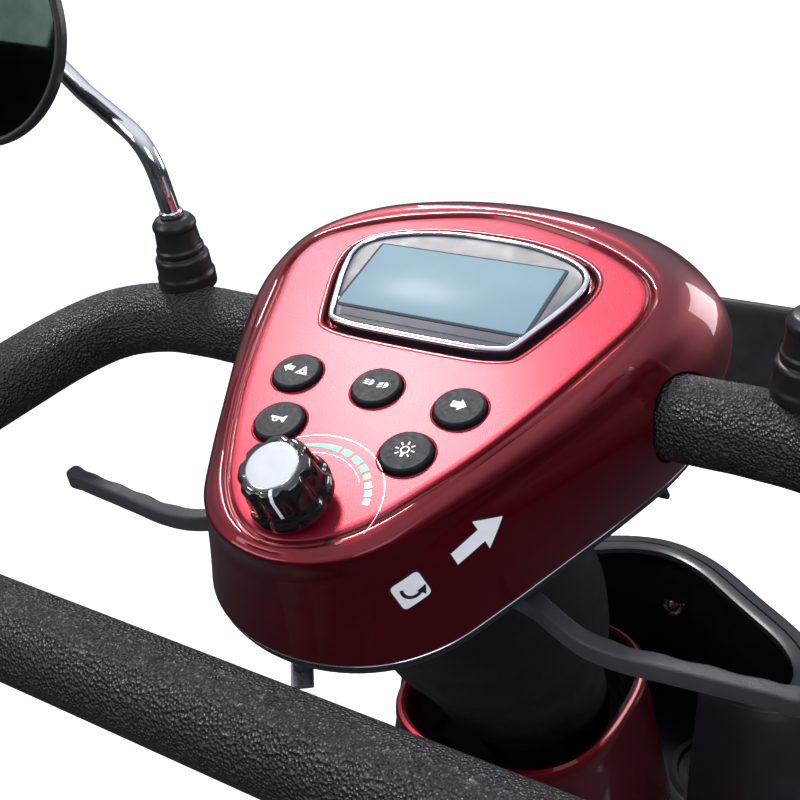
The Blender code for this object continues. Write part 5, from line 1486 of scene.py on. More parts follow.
def make_floor():
    """Moulded floor board with a kerb and a ribbed rubber mat."""
    board = mirrored([(0.0, -0.160), (0.130, -0.160), (0.255, -0.160), (0.268, -0.157), (0.272, -0.145),
                      (0.272, 0.0),
                      (0.272, 0.160), (0.250, 0.235), (0.200, 0.292), (0.120, 0.318), (0.0, 0.318)])
    fine = np.array(smooth(board, 5, cyclic=True))
    piece("floor_board", slab(fine, 0.1860, 0.2058, level_point, 0.004, 4), SATIN_BLACK, "chassis",
          ("floor_deck",))
    kerb = [[level_point(x, y, h) for x, y in offset_outline(fine, inset)] for inset, h in
            ((-0.0040, 0.2050), (-0.0052, 0.2072), (-0.0072, 0.2078), (-0.0092, 0.2070), (-0.0100, 0.2052))]
    piece("floor_kerb", loft(kerb, caps=(False, False)), SATIN_BLACK, "chassis", angle=50.0)
    mat = mirrored([(0.0, -0.145), (0.120, -0.145), (0.235, -0.145), (0.247, -0.142), (0.250, -0.130),
                    (0.250, 0.0),
                    (0.250, 0.150), (0.230, 0.215), (0.185, 0.270), (0.110, 0.300), (0.0, 0.300)])
    outline = np.array(smooth(mat, 5, cyclic=True))
    sheet = slab(outline, 0.2060, 0.2098, level_point, 0.0010, 2)
    ribs = []
    for k in range(-19, 20):
        x = k * 0.0125
        reach = 0.292 if abs(x) < 0.10 else float(np.interp(abs(x), (0.10, 0.185, 0.230, 0.246),
                                                            (0.292, 0.262, 0.205, 0.140)))
        near = -0.138
        ribs.append(beam_box((x, (near + reach) / 2, 0.2102), (0.0052, reach - near, 0.0018), 0.0006, 1))
    piece("floor_mat_rubber", merged([sheet] + ribs), MAT_RUBBER, "chassis", ("floor_mat",),
          angle=50.0)


make_floor()

REAR_STATIONS = [
    (-0.1680, 0.2120), (-0.1760, 0.3300), (-0.1980, 0.3880), (-0.2350, 0.4080), (-0.3500, 0.4120),
    (-0.4700, 0.4080),
    (-0.5500, 0.3950), (-0.6100, 0.3650), (-0.6450, 0.3150), (-0.6600, 0.2400),
]


def rear_row(y, top, inset=0.0):
    """Half section of the rear cover from its low edge to the middle, mirrored."""
    low = min(0.2120, top)
    half = [(0.1900 - inset, low), (0.1892 - inset, low + (top - low) * 0.30),
            (0.1880 - inset, low + (top - low) * 0.55),
            (0.1845 - inset, low + (top - low) * 0.75), (0.1760 - inset,
                                                         low + (top - low) * 0.88 - inset * 0.5),
            (0.1500, top - inset), (0.0750, top + 0.002 - inset), (0.0, top + 0.003 - inset)]
    fine = smooth(half, 4)
    line = [(p[0], p[1]) for p in fine] + [(-p[0], p[1]) for p in reversed(fine[:-1])]
    return [Vector((x, y, z)) for x, z in line]


def make_rear_cover():
    """Painted cover over battery and drive with mudguards, vents and a gaiter round the seat post."""
    stations = smooth(REAR_STATIONS, 5)
    rows = [rear_row(y, top) for y, top in stations]
    inner = [rear_row(min(-0.1715, y + (0.0035 if y < -0.5 else -0.0035)), top, 0.0035) for y,
             top in reversed(stations)]
    shell = to_object("rear_cover", loft(rows + inner, cyclic=True, closed=False), CANDY)
    boolean(shell, cylinder((0.0, -0.35, 0.38), (0.0, -0.35, 0.45), 0.0290, 0.001, 48))
    boolean(shell, beam_box((0.0, -0.656, 0.290), (0.244, 0.060, 0.044), 0.003))
    sharpen(shell, 38.0)
    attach(shell, "chassis")
    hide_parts("rear_body_cover")
    guards = [arch(side, REAR_AXLE_Y, 0.1860, 0.305, 0.200, 14.0, 166.0) for side in (-1, 1)]
    piece("rear_guards", merged(guards), CANDY, "chassis", angle=40.0)
    vents = []
    for side in (-1, 1):
        for k in range(5):
            spot = (side * 0.1893, -0.232 - 0.020 * k, 0.300)
            vents.append(beam_box(spot, (0.0022, 0.0090, 0.052), 0.0010, 2))
    piece("rear_vents", merged(vents), SATIN_BLACK, "chassis")
    lip = [(0.0268, 0.4140), (0.0360, 0.4140), (0.0366, 0.4165), (0.0330, 0.4185), (0.0300, 0.4250),
           (0.0310, 0.4268),
           (0.0290, 0.4310), (0.0262, 0.4325), (0.0258, 0.4140)]
    piece("post_gaiter", lathe(lip, Matrix.Translation((0.0, -0.35, 0.0)), 64, closed=True), BOOT_RUBBER,
          "chassis",
          angle=50.0)
    lamp = to_object("tail_lamp", beam_box((0.0, -0.642, 0.290), (0.236, 0.034, 0.038), 0.006, 4), LAMP_RED)
    sharpen(lamp, 50.0)
    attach(lamp, "chassis")
    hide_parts("tail_light")
    for face in lamp.data.polygons:
        face.material_index = 0
    ends = [beam_box((side * 0.0995, -0.6425, 0.290), (0.040, 0.0345, 0.0386), 0.006, 4) for side in (-1, 1)]
    piece("tail_lamp_amber", merged(ends), AMBER, "chassis", angle=50.0)
    bezel = rounded_outline([(-0.1205, 0.2695), (0.1205, 0.2695), (0.1205, 0.3105), (-0.1205, 0.3105)],
                            0.007, 4)
    path = [Vector((x, -0.6535, z)) for x, z in bezel]
    piece("tail_lamp_bezel", rod(path, 0.0014, 10, cyclic=True, up=Y_AXIS), GLOSS_BLACK, "chassis")
    bar = smooth([(-0.225, -0.640, 0.200), (-0.200, -0.672, 0.200), (-0.120, -0.686, 0.200),
                  (0.0, -0.687, 0.200),
                  (0.120, -0.686, 0.200), (0.200, -0.672, 0.200), (0.225, -0.640, 0.200)], 10)
    stays = [beam_box((side * 0.100, -0.6785, 0.179), (0.022, 0.008, 0.040), 0.002) for side in (-1, 1)]
    piece("rear_guard_bar", merged([rod(bar, 0.0118, 28)] + stays), SATIN_BLACK, "chassis",
          ("rear_bumper",), angle=50.0)
    reflectors = [lathe(arc_profile([(0.0, 0.0), (0.017, 0.0), (0.017, 0.003), (0.014, 0.0045),
                                     (0.0, 0.0048)], 0.001, 3),
                        axis_frame((side * 0.150, -0.655, 0.245), -Y_AXIS, Z_AXIS), 40) for side in (-1, 1)]
    piece("rear_reflectors", merged(reflectors), LAMP_RED, "chassis", angle=50.0)


make_rear_cover()

# ---------------------------------------------------------------- frame, axle and steering


def weld(centre, radius, axis):
    """Bead of weld metal round a joint."""
    place = axis_frame(centre, axis, Y_AXIS if abs(Vector(axis).y) < 0.9 else Z_AXIS)
    return lathe([(radius - 0.002, -0.003), (radius + 0.0016, -0.0020), (radius + 0.0026, 0.0),
                  (radius - 0.002, 0.0034)],
                 place, 40, closed=True, ripple=lambda a, r, h: r + 0.0004 * math.sin(26 * a))


def bolt_head(centre, axis, across=0.0065, height=0.0045):
    """Hexagon head with a washer."""
    place = axis_frame(centre, axis, Y_AXIS if abs(Vector(axis).normalized().y) < 0.9 else Z_AXIS)
    hexagon = [(math.cos(math.radians(60 * k)) * across,
                math.sin(math.radians(60 * k)) * across) for k in range(6)]
    head = slab(hexagon, 0.0010, 0.0010 + height, lambda x, y, h: place @ Vector((x, y, h)), 0.0008, 2)
    washer = lathe(arc_profile([(0.0, 0.0), (across * 1.35, 0.0), (across * 1.35, 0.0014), (0.0, 0.0014)],
                               0.0004, 2),
                   place, 28)
    return merged([head, washer])


def make_frame():
    boxes = [((side * 0.10, -0.115, 0.160), (0.030, 0.950, 0.040)) for side in (-1, 1)]
    boxes += [((0.0, y, 0.160), (0.230, 0.030, 0.034)) for y in (0.350, 0.100, -0.180, -0.575)]
    boxes += [((0.0, -0.350, 0.160), (0.230, 0.090, 0.030)), ((0.0, 0.352, 0.186), (0.130, 0.028, 0.050)),
              ((0.0, 0.490, 0.215), (0.110, 0.290, 0.020)), ((0.0, 0.455, 0.260), (0.056, 0.090, 0.090)),
              ((0.0, 0.500, 0.196), (0.080, 0.030, 0.024))]
    for side in (-1, 1):
        boxes += [((side * 0.125, -0.575, 0.255), (0.020, 0.030, 0.190)),
                  ((side * 0.100, -0.627, 0.160), (0.024, 0.092, 0.024))]
    parts = [beam_box(centre, size, 0.003, 3) for centre, size in boxes]
    tube = lathe([(0.0157, 0.0), (0.0240, 0.0), (0.0240, 0.160), (0.0157, 0.160)],
                 axis_frame(steer_point(-0.500), STEER_DIR), 48, closed=True)
    beads = [weld(steer_point(-0.470), 0.0240, STEER_DIR), weld(steer_point(-0.395), 0.0240, STEER_DIR)]
    piece("frame_weldment", merged(parts + [tube] + beads), POWDER, "chassis",
          ("chassis_frame",),
          angle=40.0)
    bolts = [bolt_head(Vector((side * 0.080, y, 0.1768)), Z_AXIS) for side in (-1, 1) for y in (0.350, 0.100)]
    piece("frame_bolts", merged(bolts), ZINC, "chassis")


def make_axle():
    parts = [beam_box((0.0, 0.50, 0.165), (0.300, 0.036, 0.036), 0.003, 3)]
    for side in (-1, 1):
        parts += [beam_box((side * 0.1605, 0.50, z), (0.073, 0.036, 0.010), 0.002, 2) for z in (0.125, 0.205)]
        parts.append(beam_box((side * 0.138, 0.50, 0.165), (0.024, 0.036, 0.088), 0.002, 2))
    piece("axle_beam", merged(parts), POWDER, "chassis", ("front_axle",), angle=40.0)
    caps = []
    for side in (-1, 1):
        caps += [bolt_head(Vector((side * KINGPIN_X, 0.50, 0.2100)), Z_AXIS, 0.0095, 0.006),
                 bolt_head(Vector((side * KINGPIN_X, 0.50, 0.1200)), -Z_AXIS, 0.0095, 0.006)]
    piece("axle_king_bolts", merged(caps), ZINC, "chassis")
    for side, label in ((-1, "left"), (1, "right")):
        x = side * KINGPIN_X
        post = cylinder((x, 0.50, 0.1312), (x, 0.50, 0.1988), 0.0140, 0.0015, 40)
        spindle = cylinder((x, 0.50, WHEEL_R), (side * 0.2810, 0.50, WHEEL_R), 0.0100, 0.0012, 32)
        arm = beam_box((x, 0.458, 0.157), (0.016, 0.084, 0.010), 0.002, 2)
        nut = bolt_head(Vector((side * 0.2755, 0.50, WHEEL_R)), X_AXIS * side, 0.0130, 0.0045)
        body = "knuckle_" + label
        piece("knuckle_body_" + label, merged([post, spindle, arm, nut]), CASTING, body,
              ("steering_knuckle_" + label,), angle=45.0)
    rod_part = cylinder((-0.176, 0.425, 0.170), (0.176, 0.425, 0.170), 0.0055, 0.001, 28)
    ends = [lathe(arc_profile([(0.0, -0.006), (0.0095, -0.006), (0.0105, 0.0), (0.0095, 0.006),
                               (0.0, 0.006)], 0.002, 3),
                  Matrix.Translation((side * KINGPIN_X, 0.425, 0.170)), 32) for side in (-1, 1)]
    sleeves = [cylinder((side * 0.130, 0.425, 0.170), (side * 0.160, 0.425, 0.170), 0.0078, 0.001, 6)
               for side in (-1, 1)]
    piece("tie_rod_bar", merged([rod_part] + ends + sleeves), ZINC, "tie", ("tie_rod",),
          angle=40.0)


def make_stem():
    parts = [cylinder(steer_point(-0.505), steer_point(-0.024), 0.0150, 0.001, 40),
             cylinder(steer_point(-0.338), steer_point(-0.322), 0.0230, 0.002, 40)]
    place = axis_frame(TILT_PIVOT, STEER_DIR)
    parts.append(beam_box((0.0, 0.0, -0.0275), (0.042, 0.030, 0.009), 0.0015, 2, place))
    for side in (-1, 1):
        parts.append(beam_box((side * 0.0175, 0.0, -0.010), (0.007, 0.030, 0.040), 0.0015, 2, place))
    parts.append(cylinder(TILT_PIVOT - X_AXIS * 0.020, TILT_PIVOT + X_AXIS * 0.020, 0.0060, 0.0006, 28))
    piece("steering_shaft", merged(parts), ZINC, "steering_column", ("steering_stem",),
          angle=40.0)


def make_drive():
    tube = cylinder((-0.196, REAR_AXLE_Y, WHEEL_R), (0.196, REAR_AXLE_Y, WHEEL_R), 0.0240, 0.003, 48)
    stubs = [cylinder((side * 0.150, REAR_AXLE_Y, WHEEL_R), (side * 0.281, REAR_AXLE_Y, WHEEL_R), 0.0100,
                      0.001, 32)
             for side in (-1, 1)]
    gearbox = beam_box((0.0, REAR_AXLE_Y, 0.173), (0.110, 0.130, 0.120), 0.012, 4)
    flanges = [lathe(arc_profile([(0.0, 0.0), (0.046, 0.0), (0.046, 0.008), (0.030, 0.014), (0.0, 0.014)],
                                 0.002, 3),
                     axis_frame((side * 0.054, REAR_AXLE_Y, WHEEL_R), X_AXIS * side, Z_AXIS),
                     48) for side in (-1, 1)]
    piece("drive_casting", merged([tube, gearbox] + stubs + flanges), CASTING, "chassis",
          ("transaxle",),
          angle=40.0)
    fins = [(0.0, 0.215)]
    for k in range(11):
        z = 0.222 + k * 0.0075
        fins += [(0.0405, z), (0.0450, z), (0.0450, z + 0.003), (0.0405, z + 0.003)]
    fins += [(0.0430, 0.308), (0.0380, 0.315), (0.0, 0.3155)]
    piece("drive_motor", lathe(fins, Matrix.Translation((0.0, REAR_AXLE_Y - 0.02, 0.0)), 64), SATIN_BLACK,
          "chassis",
          angle=35.0)
    case = beam_box((0.0, -0.252, 0.270), (0.300, 0.110, 0.170), 0.007, 3)
    ribs = [beam_box((x, -0.252, 0.262), (0.006, 0.1105, 0.120), 0.0015, 2) for x in np.linspace(-0.120,
                                                                                                 0.120, 7)]
    piece("battery_case", merged([case] + ribs), BATTERY_CASE, "chassis", ("battery_pack",))
    strap = beam_box((0.0, -0.252, 0.2720), (0.030, 0.1106, 0.1680), 0.002, 2)
    piece("battery_strap", strap, BOOT_RUBBER, "chassis")
    post = cylinder((0.0, -0.35, 0.1765), (0.0, -0.35, 0.470), 0.0250, 0.0015, 56)
    foot = beam_box((0.0, -0.35, 0.180), (0.090, 0.080, 0.007), 0.0015, 2)
    piece("seat_post_tube", merged([post, foot]), POWDER, "chassis", ("seat_post",), angle=40.0)


make_frame()
make_axle()
make_stem()
make_drive()

# ---------------------------------------------------------------- wheels


def tread(a, r, h):
    """Chevron blocks on the crown and shoulders of a tyre."""
    if r < 0.1500:
        return r
    pitch = (a / (2 * math.pi) * 36 + abs(h) * 22) % 1.0
    groove = 0.0032 if pitch < 0.24 and abs(h) > 0.0045 else 0.0
    if 0.0120 < abs(h) < 0.0148:
        groove = 0.0032
    fade = min(1.0, (r - 0.1500) / 0.006)
    return r - groove * fade


def make_wheel(corner, x, y, body):
    """Tyre with chevron tread on a five-spoke alloy rim."""
    side = 1 if x > 0 else -1
    place = axis_frame((x, y, WHEEL_R), X_AXIS * side, Z_AXIS)
    crown = [(0.1650 - 0.0013 * (h / 0.016) ** 2, h) for h in np.linspace(-0.0160, 0.0160, 23)]
    shoulder = smooth([(0.1637, 0.0160), (0.1605, 0.0270), (0.1540, 0.0370), (0.1450, 0.0415),
                       (0.1360, 0.0424),
                       (0.1240, 0.0404), (0.1130, 0.0362), (0.1085, 0.0335)], 3)
    outer = [(r, h) for r, h in shoulder]
    inner = [(r, -h) for r, h in reversed(outer)]
    profile = inner + crown[1:-1] + outer
    bm = lathe(profile + [(0.1085, 0.0), ], place, 216, closed=True, ripple=tread)
    piece("tyre_tread_" + corner, bm, TYRE, body, ("tyre_" + corner,), angle=28.0)
    lines = [lathe([(r - 0.0008, h), (r, h + 0.0007), (r + 0.0008, h)], place, 96, closed=True)
             for r, h in ((0.1275, 0.0413), (0.1180, 0.0388))]
    piece("tyre_lines_" + corner, merged(lines), TYRE, body, angle=50.0)

    barrel = [(0.0880, -0.0060), (0.0960, -0.0300), (0.1000, -0.0345), (0.1070, -0.0350), (0.1072, -0.0310),
              (0.1040, -0.0250), (0.1030, 0.0200), (0.1072, 0.0310), (0.1070, 0.0350), (0.1010, 0.0350),
              (0.0975, 0.0320), (0.0945, 0.0160), (0.0900, 0.0060)]
    hub = arc_profile([(0.0106, -0.0120), (0.0300, -0.0120), (0.0340, 0.0060), (0.0320, 0.0240),
                       (0.0290, 0.0290),
                       (0.0106, 0.0290)], 0.002, 3)
    spokes = []
    for k in range(5):
        a = 2 * math.pi * k / 5 + 0.3
        turn = place @ Matrix.Rotation(a, 4, "Z")
        rings = []
        for r, half, low, high in ((0.0260, 0.0150, -0.004, 0.0230), (0.0450, 0.0115, -0.004, 0.0190),
                                   (0.0700, 0.0120, -0.002, 0.0170), (0.0900, 0.0185, 0.000, 0.0190),
                                   (0.0990, 0.0260, 0.004, 0.0260)):
            section = rounded_outline([(-half, low), (half, low), (half * 0.72, high), (-half * 0.72, high)],
                                      0.003, 3)
            rings.append([turn @ Vector((r, u, v)) for u, v in section])
        spokes.append(loft(rings))
    parts = [lathe(arc_profile(barrel, 0.0015, 3) + [barrel[0]], place, 96, closed=True),
             lathe(hub, place, 64, closed=True)]
    piece("rim_alloy_" + corner, merged(parts + spokes), ALLOY, body, ("rim_" + corner,),
          angle=38.0)
    plate = [(0.0300, -0.0060), (0.0920, -0.0060), (0.0920, -0.0035), (0.0300, -0.0035)]
    piece("rim_backing_" + corner, lathe(plate, place, 72, closed=True), SATIN_BLACK, body)
    nuts = []
    for k in range(5):
        a = 2 * math.pi * (k + 0.5) / 5 + 0.3
        spot = place @ Vector((math.cos(a) * 0.0215, math.sin(a) * 0.0215, 0.0286))
        nuts.append(bolt_head(spot, X_AXIS * side, 0.0042, 0.0030))
    piece("rim_bolts_" + corner, merged(nuts), ZINC, body)
    stem_at = place @ Vector((0.0850, 0.0300, 0.0080))
    valve = cylinder(stem_at, stem_at + (place.to_3x3() @ Vector((-0.004, 0.0, 0.018))), 0.0030, 0.0006, 20)
    piece("valve_" + corner, valve, BOOT_RUBBER, body)


for wheel_corner, wheel_x, wheel_y in (("front_left", -TRACK, FRONT_AXLE_Y),
                                       ("front_right", TRACK, FRONT_AXLE_Y),
                                       ("rear_left", -TRACK, REAR_AXLE_Y),
                                       ("rear_right", TRACK, REAR_AXLE_Y)):
    make_wheel(wheel_corner, wheel_x, wheel_y, "wheel_" + wheel_corner)

# ---------------------------------------------------------------- seat frame, arms and lever

BACK_HINGE = Vector((0.0, -0.565, 0.640))
ARM_X, ARM_PIVOT_Y, ARM_PIVOT_Z = 0.272, -0.50, 0.785


def make_seat_frame():
    parts = [beam_box((0.0, -0.340, 0.504), (0.400, 0.340, 0.008), 0.002, 2)]
    turntable = arc_profile([(0.0, 0.4710), (0.050, 0.4710), (0.055, 0.4760), (0.055, 0.4850),
                             (0.052, 0.4870),
                             (0.052, 0.4890), (0.055, 0.4910), (0.055, 0.5050), (0.0, 0.5050)], 0.001, 2)
    parts.append(lathe(turntable, Matrix.Translation((0.0, -0.35, 0.0)), 72))
    for side in (-1, 1):
        parts.append(beam_box((side * 0.223, -0.5375, 0.504), (0.104, 0.115, 0.008), 0.002, 2))
        parts.append(beam_box((side * 0.271, -0.50, 0.646), (0.007, 0.024, 0.290), 0.002, 2))
        parts.append(beam_box((side * 0.232, -0.565, 0.580), (0.006, 0.030, 0.160), 0.002, 2))
        parts.append(cylinder((side * 0.2345, -0.565, 0.640), (side * 0.208, -0.565, 0.640), 0.0050, 0.0006,
                              24))
    piece("seat_base_frame", merged(parts), POWDER, "seat", ("seat_frame",), angle=40.0)
    bolts = [bolt_head(Vector((x, y, 0.4998)), -Z_AXIS) for x in (-0.15, 0.15) for y in (-0.20, -0.47)]
    bolts += [bolt_head(Vector((side * 0.2352, -0.565, 0.640)), X_AXIS * side, 0.0080,
                        0.0050) for side in (-1, 1)]
    piece("seat_bolts", merged(bolts), ZINC, "seat")
    lever = smooth([(0.130, -0.250, 0.489), (0.200, -0.240, 0.489), (0.250, -0.232, 0.492),
                    (0.286, -0.228, 0.498)], 8)
    piece("swivel_rod", rod(lever, 0.0046, 20), ZINC, "seat_release", ("swivel_lever",),
          angle=50.0)
    knob_axis = Vector((0.036, 0.004, 0.006)).normalized()
    end = Vector((0.286, -0.228, 0.498))
    knob = cylinder(end - knob_axis * 0.034, end + knob_axis * 0.002, 0.0072, 0.003, 28)
    piece("swivel_grip", knob, BOOT_RUBBER, "seat_release", angle=50.0)
    for side, label in ((-1, "left"), (1, "right")):
        hub = cylinder((side * 0.275, ARM_PIVOT_Y, ARM_PIVOT_Z), (side * 0.295, ARM_PIVOT_Y, ARM_PIVOT_Z),
                       0.0170, 0.002, 48)
        beam = beam_box((side * 0.285, -0.360, 0.792), (0.018, 0.286, 0.016), 0.003, 3)
        cap = bolt_head(Vector((side * 0.2950, ARM_PIVOT_Y, ARM_PIVOT_Z)), X_AXIS * side, 0.0075, 0.0045)
        piece("arm_bar_" + label, merged([hub, beam, cap]), POWDER, "arm_" + label,
              ("armrest_" + label,), angle=40.0)


make_seat_frame()

# ---------------------------------------------------------------- upholstery


def soft_block(name, size, edge, voxel, matrix):
    """Rounded block, remeshed evenly, in its own local frame."""
    obj = to_object(name, beam_box((0.0, 0.0, 0.0), size, edge, 4), VINYL)
    remesh = obj.modifiers.new("even", "REMESH")
    remesh.mode = "VOXEL"
    remesh.voxel_size = voxel
    bpy.context.view_layer.update()
    mesh = bpy.data.meshes.new_from_object(obj.evaluated_get(bpy.context.evaluated_depsgraph_get()))
    obj.modifiers.clear()
    obj.data = mesh
    obj.matrix_world = matrix
    return obj


def coordinates_of(mesh):
    out = np.empty(len(mesh.vertices) * 3)
    mesh.vertices.foreach_get("co", out)
    return out.reshape(-1, 3)


def stuff(obj, seams, pressure, limit, shrink):
    """Blow the block up against its seams with the cloth solver; seams(points) is true on sewn lines."""
    start = coordinates_of(obj.data)
    sewn = seams(start)
    group = obj.vertex_groups.new(name="sewn")
    group.add([int(i) for i in np.nonzero(sewn)[0]], 1.0, "REPLACE")
    cloth = obj.modifiers.new("cloth", "CLOTH")
    settings = cloth.settings
    settings.quality = 5
    settings.mass = 0.25
    settings.tension_stiffness = 12.0
    settings.compression_stiffness = 12.0
    settings.shear_stiffness = 6.0
    settings.bending_stiffness = 0.4
    settings.use_pressure = True
    settings.uniform_pressure_force = pressure
    settings.shrink_min = shrink
    settings.vertex_group_mass = "sewn"
    settings.effector_weights.gravity = 0.0
    cloth.collision_settings.use_collision = False
    scene = bpy.context.scene
    scene.frame_start, scene.frame_end = 1, 20
    for step in range(1, 21):
        scene.frame_set(step)
    solved = bpy.data.meshes.new_from_object(obj.evaluated_get(bpy.context.evaluated_depsgraph_get()))
    moved = coordinates_of(solved) - start
    bpy.data.meshes.remove(solved)
    obj.modifiers.clear()
    scene.frame_set(1)
    length = np.linalg.norm(moved, axis=1)
    moved *= np.minimum(1.0, limit / np.maximum(length, 1e-9))[:, None]
    obj.data.vertices.foreach_set("co", (start + moved).ravel())
    smooth_modifier = obj.modifiers.new("soften", "SMOOTH")
    smooth_modifier.factor = 0.5
    smooth_modifier.iterations = 2
    finer = obj.modifiers.new("finer", "SUBSURF")
    finer.levels = finer.render_levels = 1
    bpy.context.view_layer.update()
    mesh = bpy.data.meshes.new_from_object(obj.evaluated_get(bpy.context.evaluated_depsgraph_get()))
    obj.modifiers.clear()
    obj.data = mesh
    mesh.shade_smooth()
    return obj


def surface_line(obj, local_path, lift, direction):
    """Drop a local path onto the block along a direction; gives world points lifted off the surface."""
    tree = BVHTree.FromPolygons([v.co for v in obj.data.vertices], [p.vertices for p in obj.data.polygons])
    direction = Vector(direction)
    out = []
    for p in local_path:
        point = Vector(p)
        hit, normal, _, _ = tree.ray_cast(point - direction * 0.20, direction) if direction.length else \
            tree.find_nearest(point)
        if hit is None:
            hit, normal, _, _ = tree.find_nearest(point)
        out.append(obj.matrix_world @ (hit + normal * lift))
    return out


def rounded_loop(half_x, half_y, radius, z):
    """Points of a rounded rectangle, close enough together to follow a soft surface."""
    pts = []
    for cx, cy, start in ((half_x - radius, half_y - radius, 0), (-half_x + radius, half_y - radius, 90),
                          (-half_x + radius, -half_y + radius, 180),
                          (half_x - radius, -half_y + radius, 270)):
        pts += arc((cx, cy), radius, start, start + 90, 8)
    dense = []
    for (ax, ay), (bx, by) in zip(pts, pts[1:] + pts[:1]):
        steps = max(1, int(math.hypot(bx - ax, by - ay) / 0.012))
        dense += [(ax + (bx - ax) * k / steps, ay + (by - ay) * k / steps, z) for k in range(steps)]
    return dense


def stitches(points, spacing, length, radius):
    """Short raised threads along a line of world points."""
    parts = []
    travelled = 0.0
    for a, b in zip(points[:-1], points[1:]):
        travelled += (b - a).length
        if travelled >= spacing and (b - a).length > 1e-5:
            travelled = 0.0
            along = (b - a).normalized()
            parts.append(cylinder(a - along * length / 2, a + along * length / 2, radius, radius * 0.4, 6))
    return merged(parts)


def make_seat_cushion():
    matrix = Matrix.Translation((0.0, -0.325, 0.555))
    block = soft_block("seat_pad", (0.462, 0.412, 0.076), 0.026, 0.006, matrix)

    def seams(points):
        x, y, z = points.T
        border = np.maximum(np.abs(x) / 0.185, np.abs(y) / 0.160)
        ring = (z > 0.030) & (np.abs(border - 1.0) < 0.022)
        bars = (z > 0.030) & (np.abs(np.abs(x) - 0.085) < 0.0042) & (np.abs(y) < 0.160)
        side = np.abs(z - 0.004) < 0.004
        return ring | bars | (side & (np.maximum(np.abs(x) / 0.231, np.abs(y) / 0.206) > 0.97)) | (z < -0.034)

    stuff(block, seams, 4.0, 0.022, -0.02)
    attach(block, "seat")
    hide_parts("seat_cushion")
    loop = surface_line(block, rounded_loop(0.2312, 0.2062, 0.030, 0.0045), 0.0010, (0, 0, 0))
    piece("seat_piping", rod(loop, 0.0030, 12, cyclic=True), VINYL, "seat", angle=60.0)
    lines = []
    for x in (-0.085, 0.085):
        line = surface_line(block, [(x + 0.0045, y, 0.05) for y in np.linspace(-0.150, 0.150, 121)], 0.0002,
                            (0, 0, -1))
        lines.append(stitches(line, 0.0055, 0.0036, 0.00045))
    piece("seat_stitching", merged(lines), THREAD, "seat", angle=60.0)


def make_seat_back():
    matrix = Matrix.Translation(BACK_HINGE) @ Matrix.Rotation(math.radians(10.0), 4, "X") @ \
        Matrix.Translation((0.0, -0.006, 0.220))
    block = soft_block("back_pad", (0.434, 0.062, 0.474), 0.022, 0.006, matrix)

    def seams(points):
        x, y, z = points.T
        border = np.maximum(np.abs(x) / 0.170, np.abs(z) / 0.190)
        ring = (y > 0.024) & (np.abs(border - 1.0) < 0.022)
        bars = (y > 0.024) & (np.abs(np.abs(x) - 0.075) < 0.0042) & (np.abs(z) < 0.190)
        side = np.abs(y) < 0.004
        return ring | bars | (side & (np.maximum(np.abs(x) / 0.217,
                                                 np.abs(z) / 0.237) > 0.97)) | (y < -0.0285)

    stuff(block, seams, 4.0, 0.020, -0.02)
    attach(block, "backrest")
    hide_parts("seat_back")
    flat = rounded_loop(0.2172, 0.2372, 0.028, 0.0)
    loop = surface_line(block, [(x, 0.0, z) for x, z, _ in flat], 0.0010, (0, 0, 0))
    piece("back_piping", rod(loop, 0.0030, 12, cyclic=True, up=Y_AXIS), VINYL, "backrest",
          angle=60.0)
    lines = []
    for x in (-0.075, 0.075):
        line = surface_line(block, [(x + 0.0045, 0.05, z) for z in np.linspace(-0.180, 0.180, 141)], 0.0002,
                            (0, -1, 0))
        lines.append(stitches(line, 0.0055, 0.0036, 0.00045))
    piece("back_stitching", merged(lines), THREAD, "backrest", angle=60.0)
    shell = [matrix @ Vector((x, -0.0325, z)) for x, z, _ in rounded_loop(0.195, 0.215, 0.040, 0.0)]
    behind = [matrix @ Vector((x, -0.0365, z)) for x, z, _ in rounded_loop(0.192, 0.212, 0.038, 0.0)]
    if len(shell) == len(behind):
        piece("back_panel", loft([shell, behind]), SATIN_BLACK, "backrest", angle=40.0)


def make_arm_pads():
    for side, label in ((-1, "left"), (1, "right")):
        block = soft_block("arm_pad_soft_" + label, (0.052, 0.280, 0.030), 0.010, 0.004,
                           Matrix.Translation((side * 0.285, -0.356, 0.8175)))

        def seams(points):
            x, y, z = points.T
            return (np.abs(z + 0.004) < 0.003) | (z < -0.0135)

        stuff(block, seams, 4.0, 0.006, 0.0)
        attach(block, "arm_" + label)
        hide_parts("arm_pad_" + label)
        loop = surface_line(block, rounded_loop(0.0262, 0.1402, 0.012, -0.0040), 0.0004, (0, 0, 0))
        piece("arm_piping_" + label, rod(loop, 0.0018, 10, cyclic=True), VINYL, "arm_" + label,
              angle=60.0)


make_seat_cushion()
make_seat_back()
make_arm_pads()

# ---------------------------------------------------------------- floor, light and camera


WORLD_LIGHT = 1.0
KEY_LIGHT = 2.6
KEY_FROM = Vector((-0.47, 0.276, 0.838))
SKY_LOW, SKY_HIGH, BACKDROP = (0.05, 0.055, 0.065), (0.85, 0.90, 1.0), (1.0, 1.0, 1.0)
LIGHTS = [
    ("fill", (2.4, -2.0, 2.2), (0.0, 0.0, 0.7), (2.0, 1.6), 18.0, (0.94, 0.97, 1.0)),
    ("rim", (1.2, 2.4, 1.8), (0.0, 0.2, 0.8), (1.2, 1.0), 22.0, (1.0, 1.0, 1.0)),
    ("rear", (-1.8, -2.2, 2.0), (0.0, -0.3, 0.5), (1.6, 1.4), 25.0, (1.0, 1.0, 1.0)),
]


